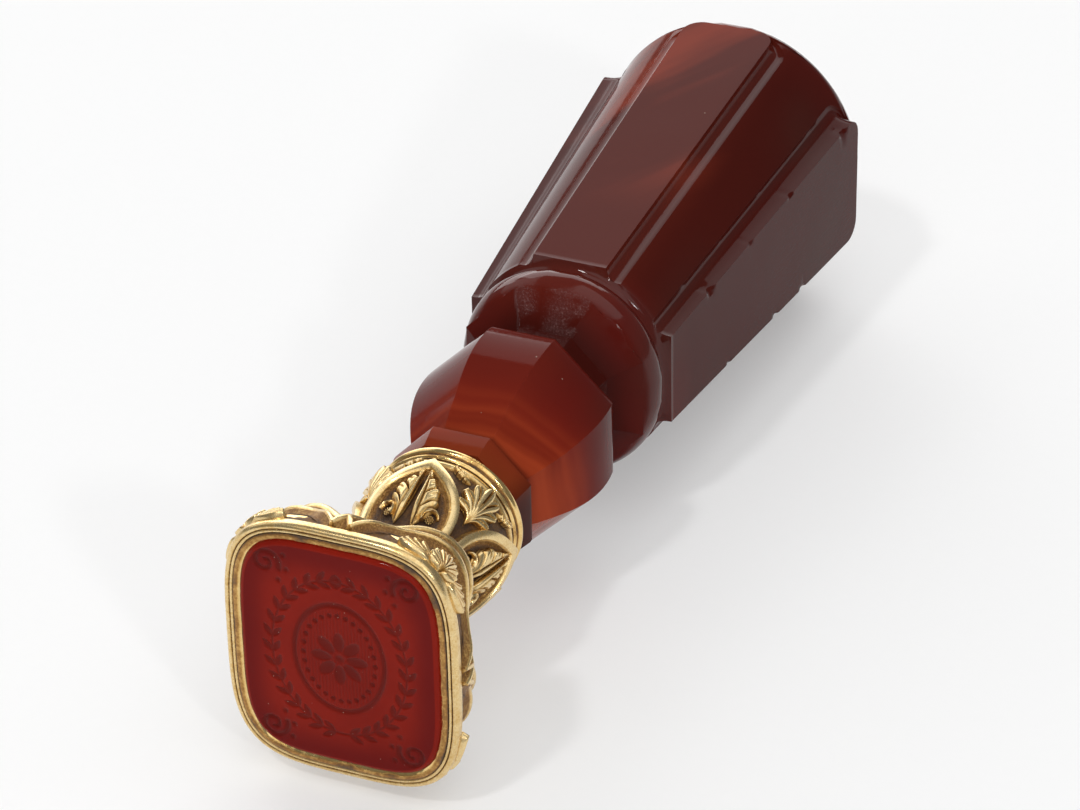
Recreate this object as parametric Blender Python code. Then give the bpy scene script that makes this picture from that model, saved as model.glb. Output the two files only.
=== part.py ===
"""Desk seal: an engraved stone in a chased gold mount, with a cut hardstone handle.

Everything is built along the seal's own axis, which is the local Z axis: the engraved face is at
zero and the handle rises above it. An empty then lays the seal on its side, as it rests on a desk,
so that its axis is level along +Y, its engraved face looks towards -Y and its lowest edge is at
z = 0. Sizes across the seal are half sizes: half_x across its width, half_y across its height.
"""

import math

import bmesh
import bpy
from mathutils import Vector
from mathutils.geometry import interpolate_bezier

MM = 0.001

# Fits: every gap between two pieces that touch
CLEARANCE = 0.25 * MM

# Engraved stone, an oblong with bulging sides and polished edges
STONE_HALF_WIDTH = 8.85 * MM
STONE_HALF_HEIGHT = 10.55 * MM
STONE_THICKNESS = 2.2 * MM
STONE_EDGE = 0.5 * MM
CUSHION_EXPONENT = 4.2

# Collet round the stone and the plate that closes it
BEZEL_WALL = 0.45 * MM
BEZEL_LIP_SETBACK = 0.1 * MM
BACK_PLATE_THICKNESS = 0.5 * MM

# Foot: a plain rim, then a flare to a round waist, with a lobe over each corner
FOOT_RIM_WALL = 0.55 * MM
FOOT_RIM_SETBACK = 0.2 * MM
FOOT_RIM_BAND = 1.5 * MM
FOOT_HEIGHT = 10.8 * MM
FOOT_WALL = 0.9 * MM
FOOT_LEDGE = 1.5 * MM
WAIST_RADIUS = 5.0 * MM
LOBE_BREADTH = 1.1

# Cup: from the waist out to a belly and in to the mouth
CUP_HEIGHT = 10.1 * MM
CUP_BELLY_RADIUS = 6.7 * MM
CUP_MOUTH_RADIUS = 6.3 * MM
CUP_WALL = 0.9 * MM

# Straps: the raised bands that arch over the foot's corners and the cup's four sides
OUTER_STRAP_RADIUS = 0.6 * MM
INNER_STRAP_RADIUS = 0.45 * MM
CUP_STRAP_RADIUS = 0.6 * MM
STRAP_LIFT = 0.2 * MM
STRAP_END_SHARE = 0.6
STRAP_SPREAD = 0.75
OUTER_STRAP_RISE = 6.1 * MM
INNER_STRAP_RISE = 3.4 * MM
STRAP_FOOT_HEIGHT = 1.8 * MM
OUTER_STRAP_START = math.radians(-2)
INNER_STRAP_START = math.radians(6)
CUP_STRAP_HALF_ANGLE = math.radians(37)
CUP_STRAP_START = 0.9 * MM
CUP_STRAP_TOP_MARGIN = 1.7 * MM

# Collar ring and the plate inside it
RING_HEIGHT = 1.35 * MM
RING_RADIUS = 6.7 * MM
RING_WIDTH = 1.5 * MM
RING_BEAD_HEIGHT = 0.75 * MM

# Pin that holds the handle
PIN_RADIUS = 1.1 * MM
PIN_IN_HANDLE = 9.0 * MM
PIN_IN_CUP = 8.0 * MM
PIN_HEAD_RADIUS = 2.2 * MM
PIN_HEAD_THICKNESS = 1.0 * MM

# Handle: all sections are taller than wide by the same share
HANDLE_OBLONG = 1.06

# Flange: an octagon with a long bevel towards the mount
FLANGE_FACE_HALF_WIDTH = 5.85 * MM
FLANGE_HALF_WIDTH = 6.25 * MM
FLANGE_BEVEL = 1.95 * MM
FLANGE_EDGE = 0.45 * MM

# Bulb: eight crowned facets between two undercuts
UNDERCUT_HALF_WIDTH = 5.2 * MM
UNDERCUT_LENGTH = 1.05 * MM
BULB_LENGTH = 12.8 * MM
BULB_HALF_WIDTH = 8.55 * MM
BULB_END_HALF_WIDTH = 8.05 * MM
NECK_HALF_WIDTH = 5.4 * MM
NECK_SLOPE = 2.0 * MM
NECK_LENGTH = 2.3 * MM

# Shoulder: eight steep facets up to a broad round bead, then a hollow under the grip
SHOULDER_BASE_HALF_WIDTH = 5.8 * MM
SHOULDER_LENGTH = 2.1 * MM
SHOULDER_HALF_WIDTH = 8.45 * MM
BEAD_FOOT_HALF_WIDTH = 9.2 * MM
BEAD_HALF_WIDTH = 9.45 * MM
BEAD_LENGTH = 2.5 * MM
HOLLOW_HALF_WIDTH = 8.95 * MM
HOLLOW_LENGTH = 1.3 * MM

# Grip: four tapering panels with a hollow along each edge and a round body between them
GRIP_LENGTH = 40.8 * MM
GRIP_NEAR_HALF_WIDTH = 9.6 * MM
GRIP_FAR_HALF_WIDTH = 12.75 * MM
TOP_PANEL_NEAR_HALF = 3.45 * MM
TOP_PANEL_FAR_HALF = 4.45 * MM
SIDE_PANEL_NEAR_HALF = 4.45 * MM
SIDE_PANEL_FAR_HALF = 6.55 * MM
PANEL_CORNER_RADIUS = 2.0 * MM
COVE_WIDTH = 1.15 * MM
DOME_HEIGHT = 5.3 * MM

# Facets of an octagonal section: half length of a face as a share of its distance from the axis
REGULAR_FACE = (0.42, 0.42)
BULB_FACE = (0.356, 0.394)

# Shapes of short stretches, as shares of their length and of the way between their two half widths
UNDERCUT_TURN = (0.4, 0.7)
BULB_LOWER_CONTROL = (0.24, 0.5)
BULB_UPPER_CONTROL = (0.56, 1.17)
BULB_CHAMFER = (0.04, 0.5)
BULB_END_TURN = (0.15, 0.35)
SHOULDER_TURN = (0.2, 0.1)
BEAD_CROWN = ((0.04, 0.0), (0.25, 0.75), (0.5, 1.0), (0.82, 0.5))
HOLLOW_FLAT = (0.1, 0.45)
HOLLOW_TURN = (0.8, 0.4)
DOME_POLE = 0.06

# How finely the round forms are cut
RIM_POINTS = 64
ROUND_POINTS = 48
PANEL_STEPS = 2
COVE_STEPS = 3
BODY_STEPS = 6
STRAP_STEPS = 16
BULB_STEPS = 9
BULB_BLEND_STEPS = 3
PANEL_CORNER_STEPS = 4
DOME_FIRST_ANGLE = 8
DOME_STEP_ANGLE = 14
FACET_EDGE_ANGLE = math.radians(22)

# Heights along the axis, each worked out from the pieces below it
BACK_PLATE_BASE = STONE_THICKNESS + CLEARANCE
LEDGE_HEIGHT = BACK_PLATE_BASE + BACK_PLATE_THICKNESS + CLEARANCE
CUP_BASE = FOOT_HEIGHT + CLEARANCE
CUP_TOP = CUP_BASE + CUP_HEIGHT
RING_BASE = CUP_TOP + CLEARANCE
RING_TOP = RING_BASE + RING_HEIGHT
HANDLE_BASE = RING_TOP + CLEARANCE
BULB_BASE = HANDLE_BASE + FLANGE_BEVEL + FLANGE_EDGE + UNDERCUT_LENGTH
BULB_TOP = BULB_BASE + BULB_LENGTH
NECK_HEIGHT = BULB_TOP + NECK_SLOPE
SHOULDER_BASE = NECK_HEIGHT + NECK_LENGTH
SHOULDER_TOP = SHOULDER_BASE + SHOULDER_LENGTH
HOLLOW_BASE = SHOULDER_TOP + BEAD_LENGTH
GRIP_BASE = HOLLOW_BASE + HOLLOW_LENGTH
GRIP_TOP = GRIP_BASE + GRIP_LENGTH
SEAL_LENGTH = GRIP_TOP + DOME_HEIGHT

# Outer sizes of the mount, each worked out from what it goes round
BEZEL_OUTER_OFFSET = CLEARANCE + BEZEL_WALL
RECESS_OFFSET = BEZEL_OUTER_OFFSET + CLEARANCE
RIM_OFFSET = RECESS_OFFSET + FOOT_RIM_WALL
REST_HEIGHT = GRIP_FAR_HALF_WIDTH * HANDLE_OBLONG

# Colours as linear RGB, with roughness and metallic value
FINISHES = {
    "Carnelian": ((0.17, 0.018, 0.012), 0.12, 0.0),
    "ChasedGold": ((0.72, 0.52, 0.22), 0.32, 1.0),
    "PolishedGold": ((0.78, 0.52, 0.18), 0.2, 1.0),
    "BandedAgate": ((0.16, 0.03, 0.022), 0.15, 0.0),
    "Pitch": ((0.05, 0.035, 0.025), 0.8, 0.0),
}


def remove_everything():
    """Empties the scene that the script runs in."""
    for old in list(bpy.data.objects):
        bpy.data.objects.remove(old, do_unlink=True)
    for old in list(bpy.data.collections):
        bpy.data.collections.remove(old)


def make_materials():
    """Makes one Principled material for each finish and returns them by name."""
    materials = {}
    for name, (colour, roughness, metallic) in FINISHES.items():
        material = bpy.data.materials.new(name)
        material.use_nodes = True
        shader = material.node_tree.nodes["Principled BSDF"]
        shader.inputs["Base Color"].default_value = (*colour, 1.0)
        shader.inputs["Roughness"].default_value = roughness
        shader.inputs["Metallic"].default_value = metallic
        material.diffuse_color = (*colour, 1.0)
        materials[name] = material
    return materials


def add_object(name, mesh, collection, material, axis):
    """Puts a mesh in the scene as a named object carried by the seal's axis."""
    piece = bpy.data.objects.new(name, mesh)
    collection.objects.link(piece)
    piece.data.materials.clear()
    piece.data.materials.append(material)
    piece.parent = axis
    return piece


def loft(name, sections, ring=False):
    """Joins sections of equally many points, and caps the ends unless the loft closes on itself."""
    work = bmesh.new()
    rows = [[work.verts.new(point) for point in section] for section in sections]
    pairs = list(zip(rows, rows[1:]))
    if ring:
        pairs.append((rows[-1], rows[0]))
    else:
        work.faces.new(list(reversed(rows[0])))
        work.faces.new(rows[-1])
    count = len(rows[0])
    for lower, upper in pairs:
        for index in range(count):
            after = (index + 1) % count
            work.faces.new((lower[index], lower[after], upper[after], upper[index]))
    bmesh.ops.recalc_face_normals(work, faces=work.faces)
    mesh = bpy.data.meshes.new(name)
    work.to_mesh(mesh)
    work.free()
    mesh.shade_smooth()
    mesh.set_sharp_from_angle(angle=FACET_EDGE_ANGLE)
    return mesh


def signed_power(value, exponent):
    """Raises the size of a value to a power and keeps its sign."""
    return math.copysign(abs(value) ** exponent, value)


def cushion(half_x, half_y, exponent, height, count=RIM_POINTS):
    """Gives the points of a superellipse: a circle at exponent 2, squarer above it."""
    points = []
    for index in range(count):
        angle = 2 * math.pi * index / count
        points.append(Vector((
            half_x * signed_power(math.cos(angle), 2 / exponent),
            half_y * signed_power(math.sin(angle), 2 / exponent),
            height,
        )))
    return points


def offset_exponent(offset):
    """Gives the exponent with which the stone's outline keeps its corners when it is moved outwards."""
    stone_diagonal = math.hypot(STONE_HALF_WIDTH, STONE_HALF_HEIGHT)
    stone_corner = stone_diagonal * 2 ** (-1 / CUSHION_EXPONENT)
    diagonal = math.hypot(STONE_HALF_WIDTH + offset, STONE_HALF_HEIGHT + offset)
    return -math.log(2) / math.log((stone_corner + offset) / diagonal)


def stone_outline(offset, height):
    """Gives the engraved stone's outline, moved outwards by an offset."""
    exponent = offset_exponent(offset)
    return cushion(STONE_HALF_WIDTH + offset, STONE_HALF_HEIGHT + offset, exponent, height)


def mix(start, end, share):
    """Goes from start to end by a share."""
    return start + (end - start) * share


def slope(table, row, column):
    """Gives a table column's rise for each unit of share at a row, from the rows beside it."""
    before, after = table[max(row - 1, 0)], table[min(row + 1, len(table) - 1)]
    return (after[column] - before[column]) / (after[0] - before[0])


def along(table, share):
    """Reads a table of (share, value, ...) rows along a smooth curve through its rows."""
    row = 0
    while row < len(table) - 2 and share > table[row + 1][0]:
        row += 1
    lower, upper = table[row], table[row + 1]
    width = upper[0] - lower[0]
    part = min(max((share - lower[0]) / width, 0.0), 1.0)
    values = []
    for column in range(1, len(lower)):
        leave, arrive = slope(table, row, column) * width, slope(table, row + 1, column) * width
        values.append(
            lower[column] * (1 + 2 * part) * (1 - part) ** 2
            + leave * part * (1 - part) ** 2
            + upper[column] * part ** 2 * (3 - 2 * part)
            - arrive * part ** 2 * (1 - part)
        )
    return values


# Foot's flare: share of its height, then how far its sides and its corners have drawn in to the waist
FOOT_FLARE = (
    (0.0, 0.0, 0.0),
    (0.18, 0.05, 0.08),
    (0.30, 0.20, 0.15),
    (0.46, 0.46, 0.24),
    (0.62, 0.68, 0.34),
    (0.75, 0.80, 0.48),
    (0.88, 0.92, 0.78),
    (1.0, 1.0, 1.0),
)

# Cup's side: share of its height, then how far it has gone from waist to belly
CUP_SIDE = (
    (0.0, 0.0),
    (0.2, 0.35),
    (0.4, 0.63),
    (0.6, 0.86),
    (0.8, 1.0),
)


def foot_point(angle, height, inset=0.0):
    """Gives a point of the foot's outer surface, or of its inner one, which is inset by the wall."""
    flare = (height - FOOT_RIM_BAND) / (FOOT_HEIGHT - FOOT_RIM_BAND)
    side_share, corner_share = along(FOOT_FLARE, min(max(flare, 0.0), 1.0))
    half_x = mix(STONE_HALF_WIDTH + RIM_OFFSET, WAIST_RADIUS, side_share) - inset
    half_y = mix(STONE_HALF_HEIGHT + RIM_OFFSET, WAIST_RADIUS, side_share) - inset
    rim_exponent = offset_exponent(RIM_OFFSET)
    exponent = mix(rim_exponent, 2.0, side_share)
    rim_diagonal = math.hypot(STONE_HALF_WIDTH + RIM_OFFSET, STONE_HALF_HEIGHT + RIM_OFFSET)
    rim_corner = rim_diagonal * 2 ** (-1 / rim_exponent)
    plain_corner = math.hypot(half_x, half_y) * 2 ** (-1 / exponent)
    lobe = (mix(rim_corner, WAIST_RADIUS, corner_share) - inset) / plain_corner - 1
    reach = 1 + lobe * abs(math.sin(2 * angle)) ** LOBE_BREADTH
    return Vector((
        half_x * reach * signed_power(math.cos(angle), 2 / exponent),
        half_y * reach * signed_power(math.sin(angle), 2 / exponent),
        height,
    ))


def foot_point_facing(direction, height):
    """Gives the point of the foot's outer surface that lies in a direction from the axis."""
    quarter_turn = math.pi / 2
    quarter = math.floor(direction / quarter_turn)
    low, high = quarter * quarter_turn, (quarter + 1) * quarter_turn
    for _ in range(24):
        middle = (low + high) / 2
        point = foot_point(middle, height)
        turn = math.atan2(point.y, point.x) % (2 * math.pi)
        ahead = (turn - direction + math.pi) % (2 * math.pi) - math.pi
        low, high = (low, middle) if ahead > 0 else (middle, high)
    return foot_point((low + high) / 2, height)


def foot_section(height, inset=0.0):
    """Gives one closed section of the foot."""
    return [foot_point(2 * math.pi * index / RIM_POINTS, height, inset) for index in range(RIM_POINTS)]


def cup_radius(height):
    """Gives the cup's outer radius at a height on the seal."""
    share = (height - CUP_BASE) / CUP_HEIGHT
    belly_share = CUP_SIDE[-1][0]
    if share <= belly_share:
        return mix(WAIST_RADIUS, CUP_BELLY_RADIUS, along(CUP_SIDE, share)[0])
    closing = (share - belly_share) / (1 - belly_share)
    return mix(CUP_BELLY_RADIUS, CUP_MOUTH_RADIUS, closing ** 2)


def circle(radius, height, count=ROUND_POINTS):
    """Gives the points of a circle across the axis."""
    return cushion(radius, radius, 2.0, height, count)


def strap(name, points, radius):
    """Makes a round band along a path, thinner at its ends, as a mesh that can be joined to a shell."""
    curve = bpy.data.curves.new(name, "CURVE")
    curve.dimensions = "3D"
    curve.bevel_depth = radius
    curve.bevel_resolution = 1
    curve.use_fill_caps = True
    spline = curve.splines.new("POLY")
    spline.points.add(len(points) - 1)
    for index, (control, point) in enumerate(zip(spline.points, points)):
        control.co = (*point, 1.0)
        control.radius = mix(STRAP_END_SHARE, 1.0, math.sin(math.pi * index / (len(points) - 1)) ** 0.5)
    path = bpy.data.objects.new(name, curve)
    bpy.context.scene.collection.objects.link(path)
    bpy.context.view_layer.update()
    evaluated = path.evaluated_get(bpy.context.evaluated_depsgraph_get())
    mesh = bpy.data.meshes.new_from_object(evaluated)
    bpy.data.objects.remove(path, do_unlink=True)
    work = bmesh.new()
    work.from_mesh(mesh)
    bmesh.ops.remove_doubles(work, verts=work.verts, dist=0.001 * MM)
    bmesh.ops.recalc_face_normals(work, faces=work.faces)
    work.to_mesh(mesh)
    work.free()
    return mesh


def join_to(shell, name, mesh, guides):
    """Joins a mesh to a shell with a Boolean union and keeps the mesh as a hidden guide."""
    guide = bpy.data.objects.new(name, mesh)
    guides.objects.link(guide)
    guide.parent = shell.parent
    guide.hide_render = True
    guide.display_type = "WIRE"
    modifier = shell.modifiers.new(name, "BOOLEAN")
    modifier.operation = "UNION"
    modifier.solver = "EXACT"
    modifier.object = guide


def lifted(point):
    """Moves a point of the mount's surface outwards to the middle of the strap that lies on it."""
    reach = 1 + STRAP_LIFT / math.hypot(point.x, point.y)
    return Vector((point.x * reach, point.y * reach, point.z))


def corner_strap(quarter, start, rise):
    """Gives the path of a strap from the middle of one side, up over a corner, to the next side."""
    points = []
    for step in range(STRAP_STEPS + 1):
        share = step / STRAP_STEPS
        angle = quarter * math.pi / 2 + mix(start, math.pi / 2 - start, share)
        height = STRAP_FOOT_HEIGHT + rise * math.sin(math.pi * share) ** STRAP_SPREAD
        points.append(lifted(foot_point_facing(angle, height)))
    return points


def cup_strap(centre):
    """Gives the path of a pointed arch on the cup, from one foot up to its point and down again."""
    top = CUP_TOP - CUP_STRAP_TOP_MARGIN
    bottom = CUP_BASE + CUP_STRAP_START
    half = interpolate_bezier(
        Vector((CUP_STRAP_HALF_ANGLE, bottom, 0)),
        Vector((CUP_STRAP_HALF_ANGLE * 1.12, mix(bottom, top, 0.62), 0)),
        Vector((CUP_STRAP_HALF_ANGLE * 0.55, mix(bottom, top, 0.84), 0)),
        Vector((0, top, 0)),
        STRAP_STEPS // 2 + 1,
    )
    path = [(centre + turn, height) for turn, height, _ in half]
    path += [(centre - turn, height) for turn, height, _ in reversed(half[:-1])]
    points = []
    for turn, height in path:
        radius = cup_radius(height)
        points.append(lifted(Vector((radius * math.cos(turn), radius * math.sin(turn), height))))
    return points


def make_matrix_stone(collection, materials, axis):
    """Makes the engraved stone: a cushion-shaped plate with a rounded front edge."""
    sections = [
        stone_outline(-STONE_EDGE, 0.0),
        stone_outline(-0.3 * STONE_EDGE, 0.3 * STONE_EDGE),
        stone_outline(0.0, STONE_EDGE),
        stone_outline(0.0, STONE_THICKNESS),
    ]
    add_object("matrix_stone", loft("matrix_stone", sections), collection, materials["Carnelian"], axis)


def make_bezel(collection, materials, axis):
    """Makes the collet: a thin upright wall whose front lip leans over the stone's edge."""
    inner, outer = CLEARANCE, BEZEL_OUTER_OFFSET
    lip = BEZEL_LIP_SETBACK
    sections = [
        stone_outline(inner, STONE_THICKNESS),
        stone_outline(inner, STONE_EDGE),
        stone_outline(0.0, lip),
        stone_outline(mix(inner, outer, 0.5), lip),
        stone_outline(outer, lip + 0.5 * BEZEL_WALL),
        stone_outline(outer, STONE_THICKNESS),
    ]
    mesh = loft("bezel", sections, ring=True)
    add_object("bezel", mesh, collection, materials["PolishedGold"], axis)


def make_back_plate(collection, materials, axis):
    """Makes the plate that closes the collet behind the stone."""
    sections = [
        stone_outline(BEZEL_OUTER_OFFSET, BACK_PLATE_BASE),
        stone_outline(BEZEL_OUTER_OFFSET, BACK_PLATE_BASE + BACK_PLATE_THICKNESS),
    ]
    mesh = loft("back_plate", sections)
    add_object("back_plate", mesh, collection, materials["PolishedGold"], axis)


def make_foot_shell(collection, guides, materials, axis):
    """Makes the hollow foot: recess for the collet, rim bead, flare with corner lobes, and straps."""
    bead = 0.5 * FOOT_RIM_WALL
    flare_height = FOOT_HEIGHT - FOOT_RIM_BAND
    outside = [
        stone_outline(RECESS_OFFSET, FOOT_RIM_SETBACK + 0.5 * bead),
        stone_outline(RECESS_OFFSET + bead, FOOT_RIM_SETBACK),
        stone_outline(RIM_OFFSET, FOOT_RIM_SETBACK + bead),
    ]
    outside += [foot_section(FOOT_RIM_BAND + flare_height * row[0]) for row in FOOT_FLARE]
    cavity_base = LEDGE_HEIGHT + FOOT_WALL
    inside = [
        foot_section(mix(FOOT_HEIGHT, cavity_base, share), FOOT_WALL) for share in (0.0, 0.35, 0.7, 1.0)
    ]
    seat = [
        stone_outline(RECESS_OFFSET - FOOT_LEDGE, LEDGE_HEIGHT),
        stone_outline(RECESS_OFFSET, LEDGE_HEIGHT),
    ]
    mesh = loft("foot_shell", outside + inside + seat, ring=True)
    shell = add_object("foot_shell", mesh, collection, materials["ChasedGold"], axis)
    for quarter in range(4):
        for label, start, rise, radius in (
            ("outer", OUTER_STRAP_START, OUTER_STRAP_RISE, OUTER_STRAP_RADIUS),
            ("inner", INNER_STRAP_START, INNER_STRAP_RISE, INNER_STRAP_RADIUS),
        ):
            name = f"foot_{label}_strap_{quarter + 1}"
            join_to(shell, name, strap(name, corner_strap(quarter, start, rise), radius), guides)


def make_cup_shell(collection, guides, materials, axis):
    """Makes the hollow cup with a pointed strap arch on each of its four sides."""
    shares = [row[0] for row in CUP_SIDE] + [0.9, 1.0]
    heights = [CUP_BASE + CUP_HEIGHT * share for share in shares]
    outside = [circle(cup_radius(height), height) for height in heights]
    inside = [circle(cup_radius(height) - CUP_WALL, height) for height in reversed(heights[::2])]
    mesh = loft("cup_shell", outside + inside, ring=True)
    shell = add_object("cup_shell", mesh, collection, materials["ChasedGold"], axis)
    for quarter in range(4):
        name = f"cup_strap_{quarter + 1}"
        path = cup_strap(quarter * math.pi / 2)
        join_to(shell, name, strap(name, path, CUP_STRAP_RADIUS), guides)


def make_collar_ring(collection, materials, axis):
    """Makes the polished ring: a small step at the cup and a round bead at the handle."""
    bore = RING_RADIUS - RING_WIDTH
    bead = RING_BEAD_HEIGHT
    bead_base = RING_TOP - bead
    sections = [
        circle(bore, RING_BASE),
        circle(CUP_MOUTH_RADIUS, RING_BASE),
        circle(CUP_MOUTH_RADIUS, bead_base),
        circle(RING_RADIUS - 0.15 * bead, bead_base + 0.12 * bead),
        circle(RING_RADIUS, bead_base + 0.5 * bead),
        circle(RING_RADIUS - 0.15 * bead, bead_base + 0.88 * bead),
        circle(CUP_MOUTH_RADIUS, RING_TOP),
        circle(bore, RING_TOP),
    ]
    mesh = loft("collar_ring", sections, ring=True)
    add_object("collar_ring", mesh, collection, materials["PolishedGold"], axis)


def make_cap_plate(collection, materials, axis):
    """Makes the disc inside the ring, with the hole that the pin goes through."""
    radius = RING_RADIUS - RING_WIDTH - CLEARANCE
    hole = PIN_RADIUS + CLEARANCE
    sections = [
        circle(hole, RING_BASE),
        circle(radius, RING_BASE),
        circle(radius, RING_TOP),
        circle(hole, RING_TOP),
    ]
    mesh = loft("cap_plate", sections, ring=True)
    add_object("cap_plate", mesh, collection, materials["PolishedGold"], axis)


def make_fixing_pin(collection, materials, axis):
    """Makes the pin: a flat head in the filling and a shank up into the handle."""
    count = ROUND_POINTS // 2
    head_base = RING_BASE - PIN_IN_CUP
    sections = [
        circle(PIN_HEAD_RADIUS, head_base, count),
        circle(PIN_HEAD_RADIUS, head_base + PIN_HEAD_THICKNESS, count),
        circle(PIN_RADIUS, head_base + PIN_HEAD_THICKNESS, count),
        circle(PIN_RADIUS, HANDLE_BASE + PIN_IN_HANDLE, count),
    ]
    mesh = loft("fixing_pin", sections)
    add_object("fixing_pin", mesh, collection, materials["PolishedGold"], axis)


def make_pitch_core(collection, materials, axis):
    """Makes the filling: it stands on the back plate, fills foot and cup and leaves room for the pin."""
    count = RIM_POINTS
    base = LEDGE_HEIGHT + FOOT_WALL
    rows = [stone_outline(RECESS_OFFSET - FOOT_LEDGE - CLEARANCE, LEDGE_HEIGHT)]
    for share in (0.0, 0.3, 0.65, 1.0):
        rows.append(foot_section(mix(base, FOOT_HEIGHT, share), FOOT_WALL + CLEARANCE))
    for share in (0.02, 0.32, 0.68, 1.0):
        height = CUP_BASE + CUP_HEIGHT * share
        rows.append(circle(cup_radius(height) - CUP_WALL - CLEARANCE, height, count))
    head_base = RING_BASE - PIN_IN_CUP - CLEARANCE
    head_top = head_base + PIN_HEAD_THICKNESS + 2 * CLEARANCE
    rows += [
        circle(PIN_RADIUS + CLEARANCE, CUP_TOP, count),
        circle(PIN_RADIUS + CLEARANCE, head_top, count),
        circle(PIN_HEAD_RADIUS + CLEARANCE, head_top, count),
        circle(PIN_HEAD_RADIUS + CLEARANCE, head_base, count),
    ]
    mesh = loft("pitch_core", rows)
    add_object("pitch_core", mesh, collection, materials["Pitch"], axis)


def bend(start, control, end, steps):
    """Gives the points of a quadratic curve after its start, up to and with its end."""
    points = []
    for step in range(1, steps + 1):
        share = step / steps
        points.append(mix(mix(start, control, share), mix(control, end, share), share))
    return points


def octagon_corner(half_x, half_y, face):
    """Gives the diagonal face of an octagon in the first quarter as equally spaced points."""
    start = Vector((half_x, half_y * face[1]))
    end = Vector((half_x * face[0], half_y))
    steps = 2 * COVE_STEPS + BODY_STEPS
    return [mix(start, end, step / steps) for step in range(steps + 1)]


def round_corner(half_x, half_y, face):
    """Gives the same stretch of an ellipse, between the directions of the octagon's corners."""
    start = math.atan2(face[1], 1.0)
    end = math.atan2(1.0, face[0])
    steps = 2 * COVE_STEPS + BODY_STEPS
    turns = [mix(start, end, step / steps) for step in range(steps + 1)]
    return [Vector((half_x * math.cos(turn), half_y * math.sin(turn))) for turn in turns]


def panel_corner(half_x, half_y, side_half, top_half):
    """Gives the stretch from the side panel's edge to the top panel's: cove, round body, cove."""
    def on_body(x=None, y=None):
        if x is None:
            return Vector((half_x * math.sqrt(max(1 - (y / half_y) ** 2, 0.0)), y))
        return Vector((x, half_y * math.sqrt(max(1 - (x / half_x) ** 2, 0.0))))

    side_edge = Vector((half_x, side_half))
    top_edge = Vector((top_half, half_y))
    side_foot = on_body(y=side_half + COVE_WIDTH)
    top_foot = on_body(x=top_half + COVE_WIDTH)
    points = [side_edge]
    points += bend(side_edge, on_body(y=side_half), side_foot, COVE_STEPS)
    start = math.atan2(side_foot.y / half_y, side_foot.x / half_x)
    end = math.atan2(top_foot.y / half_y, top_foot.x / half_x)
    for step in range(1, BODY_STEPS):
        turn = mix(start, end, step / BODY_STEPS)
        points.append(Vector((half_x * math.cos(turn), half_y * math.sin(turn))))
    points.append(top_foot)
    points += bend(top_foot, on_body(x=top_half), top_edge, COVE_STEPS)
    return points


def mirrored(corner, height):
    """Repeats a first-quarter corner round the axis, with the panel faces split between corners."""
    def turned(points, flip_x, flip_y):
        return [Vector((-p.x if flip_x else p.x, -p.y if flip_y else p.y)) for p in points]

    quarters = [
        corner,
        list(reversed(turned(corner, True, False))),
        turned(corner, True, True),
        list(reversed(turned(corner, False, True))),
    ]
    outline = []
    for index, quarter in enumerate(quarters):
        following = quarters[(index + 1) % 4][0]
        outline += quarter
        outline += [mix(quarter[-1], following, step / PANEL_STEPS) for step in range(1, PANEL_STEPS)]
    return [Vector((point.x, point.y, height)) for point in outline]


def rounded(corner_points, half_x, half_y, height):
    """Closes a round section, whose faces between the corners are arcs too."""
    outline = mirrored(corner_points, height)
    for point in outline:
        spread = math.hypot(point.x / half_x, point.y / half_y)
        point.x /= spread
        point.y /= spread
    return outline


def handle_octagon(half_x, height, face=REGULAR_FACE):
    """Gives an octagonal section of the handle."""
    half_y = half_x * HANDLE_OBLONG
    return mirrored(octagon_corner(half_x, half_y, face), height)


def handle_round(half_x, height, face=REGULAR_FACE):
    """Gives an oval section of the handle."""
    half_y = half_x * HANDLE_OBLONG
    return rounded(round_corner(half_x, half_y, face), half_x, half_y, height)


def grip_section(share, corner_cut=0.0):
    """Gives a section of the grip at a share of its length, with its panels narrowed by a cut."""
    half_x = mix(GRIP_NEAR_HALF_WIDTH, GRIP_FAR_HALF_WIDTH, share)
    side_half = mix(SIDE_PANEL_NEAR_HALF, SIDE_PANEL_FAR_HALF, share) - corner_cut
    top_half = mix(TOP_PANEL_NEAR_HALF, TOP_PANEL_FAR_HALF, share) - corner_cut
    corner = panel_corner(half_x, half_x * HANDLE_OBLONG, side_half, top_half)
    return mirrored(corner, mix(GRIP_BASE, GRIP_TOP, share))


def flange_sections():
    """Gives the flange: a bevelled octagon, then the undercut behind it."""
    edge = HANDLE_BASE + FLANGE_BEVEL
    turn_length, turn_depth = UNDERCUT_TURN
    return [
        handle_octagon(FLANGE_FACE_HALF_WIDTH, HANDLE_BASE),
        handle_octagon(FLANGE_HALF_WIDTH, edge),
        handle_octagon(FLANGE_HALF_WIDTH, edge + FLANGE_EDGE),
        handle_octagon(
            mix(FLANGE_HALF_WIDTH, UNDERCUT_HALF_WIDTH, turn_depth),
            edge + FLANGE_EDGE + turn_length * UNDERCUT_LENGTH,
        ),
    ]


def bulb_control(shares, half_width, length_from_base):
    """Gives a control point of the bulb's side from its shares of length and of half width."""
    along_share, across_share = shares
    half = mix(UNDERCUT_HALF_WIDTH, half_width, across_share)
    return Vector((half, BULB_BASE + along_share * length_from_base, 0.0))


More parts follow.
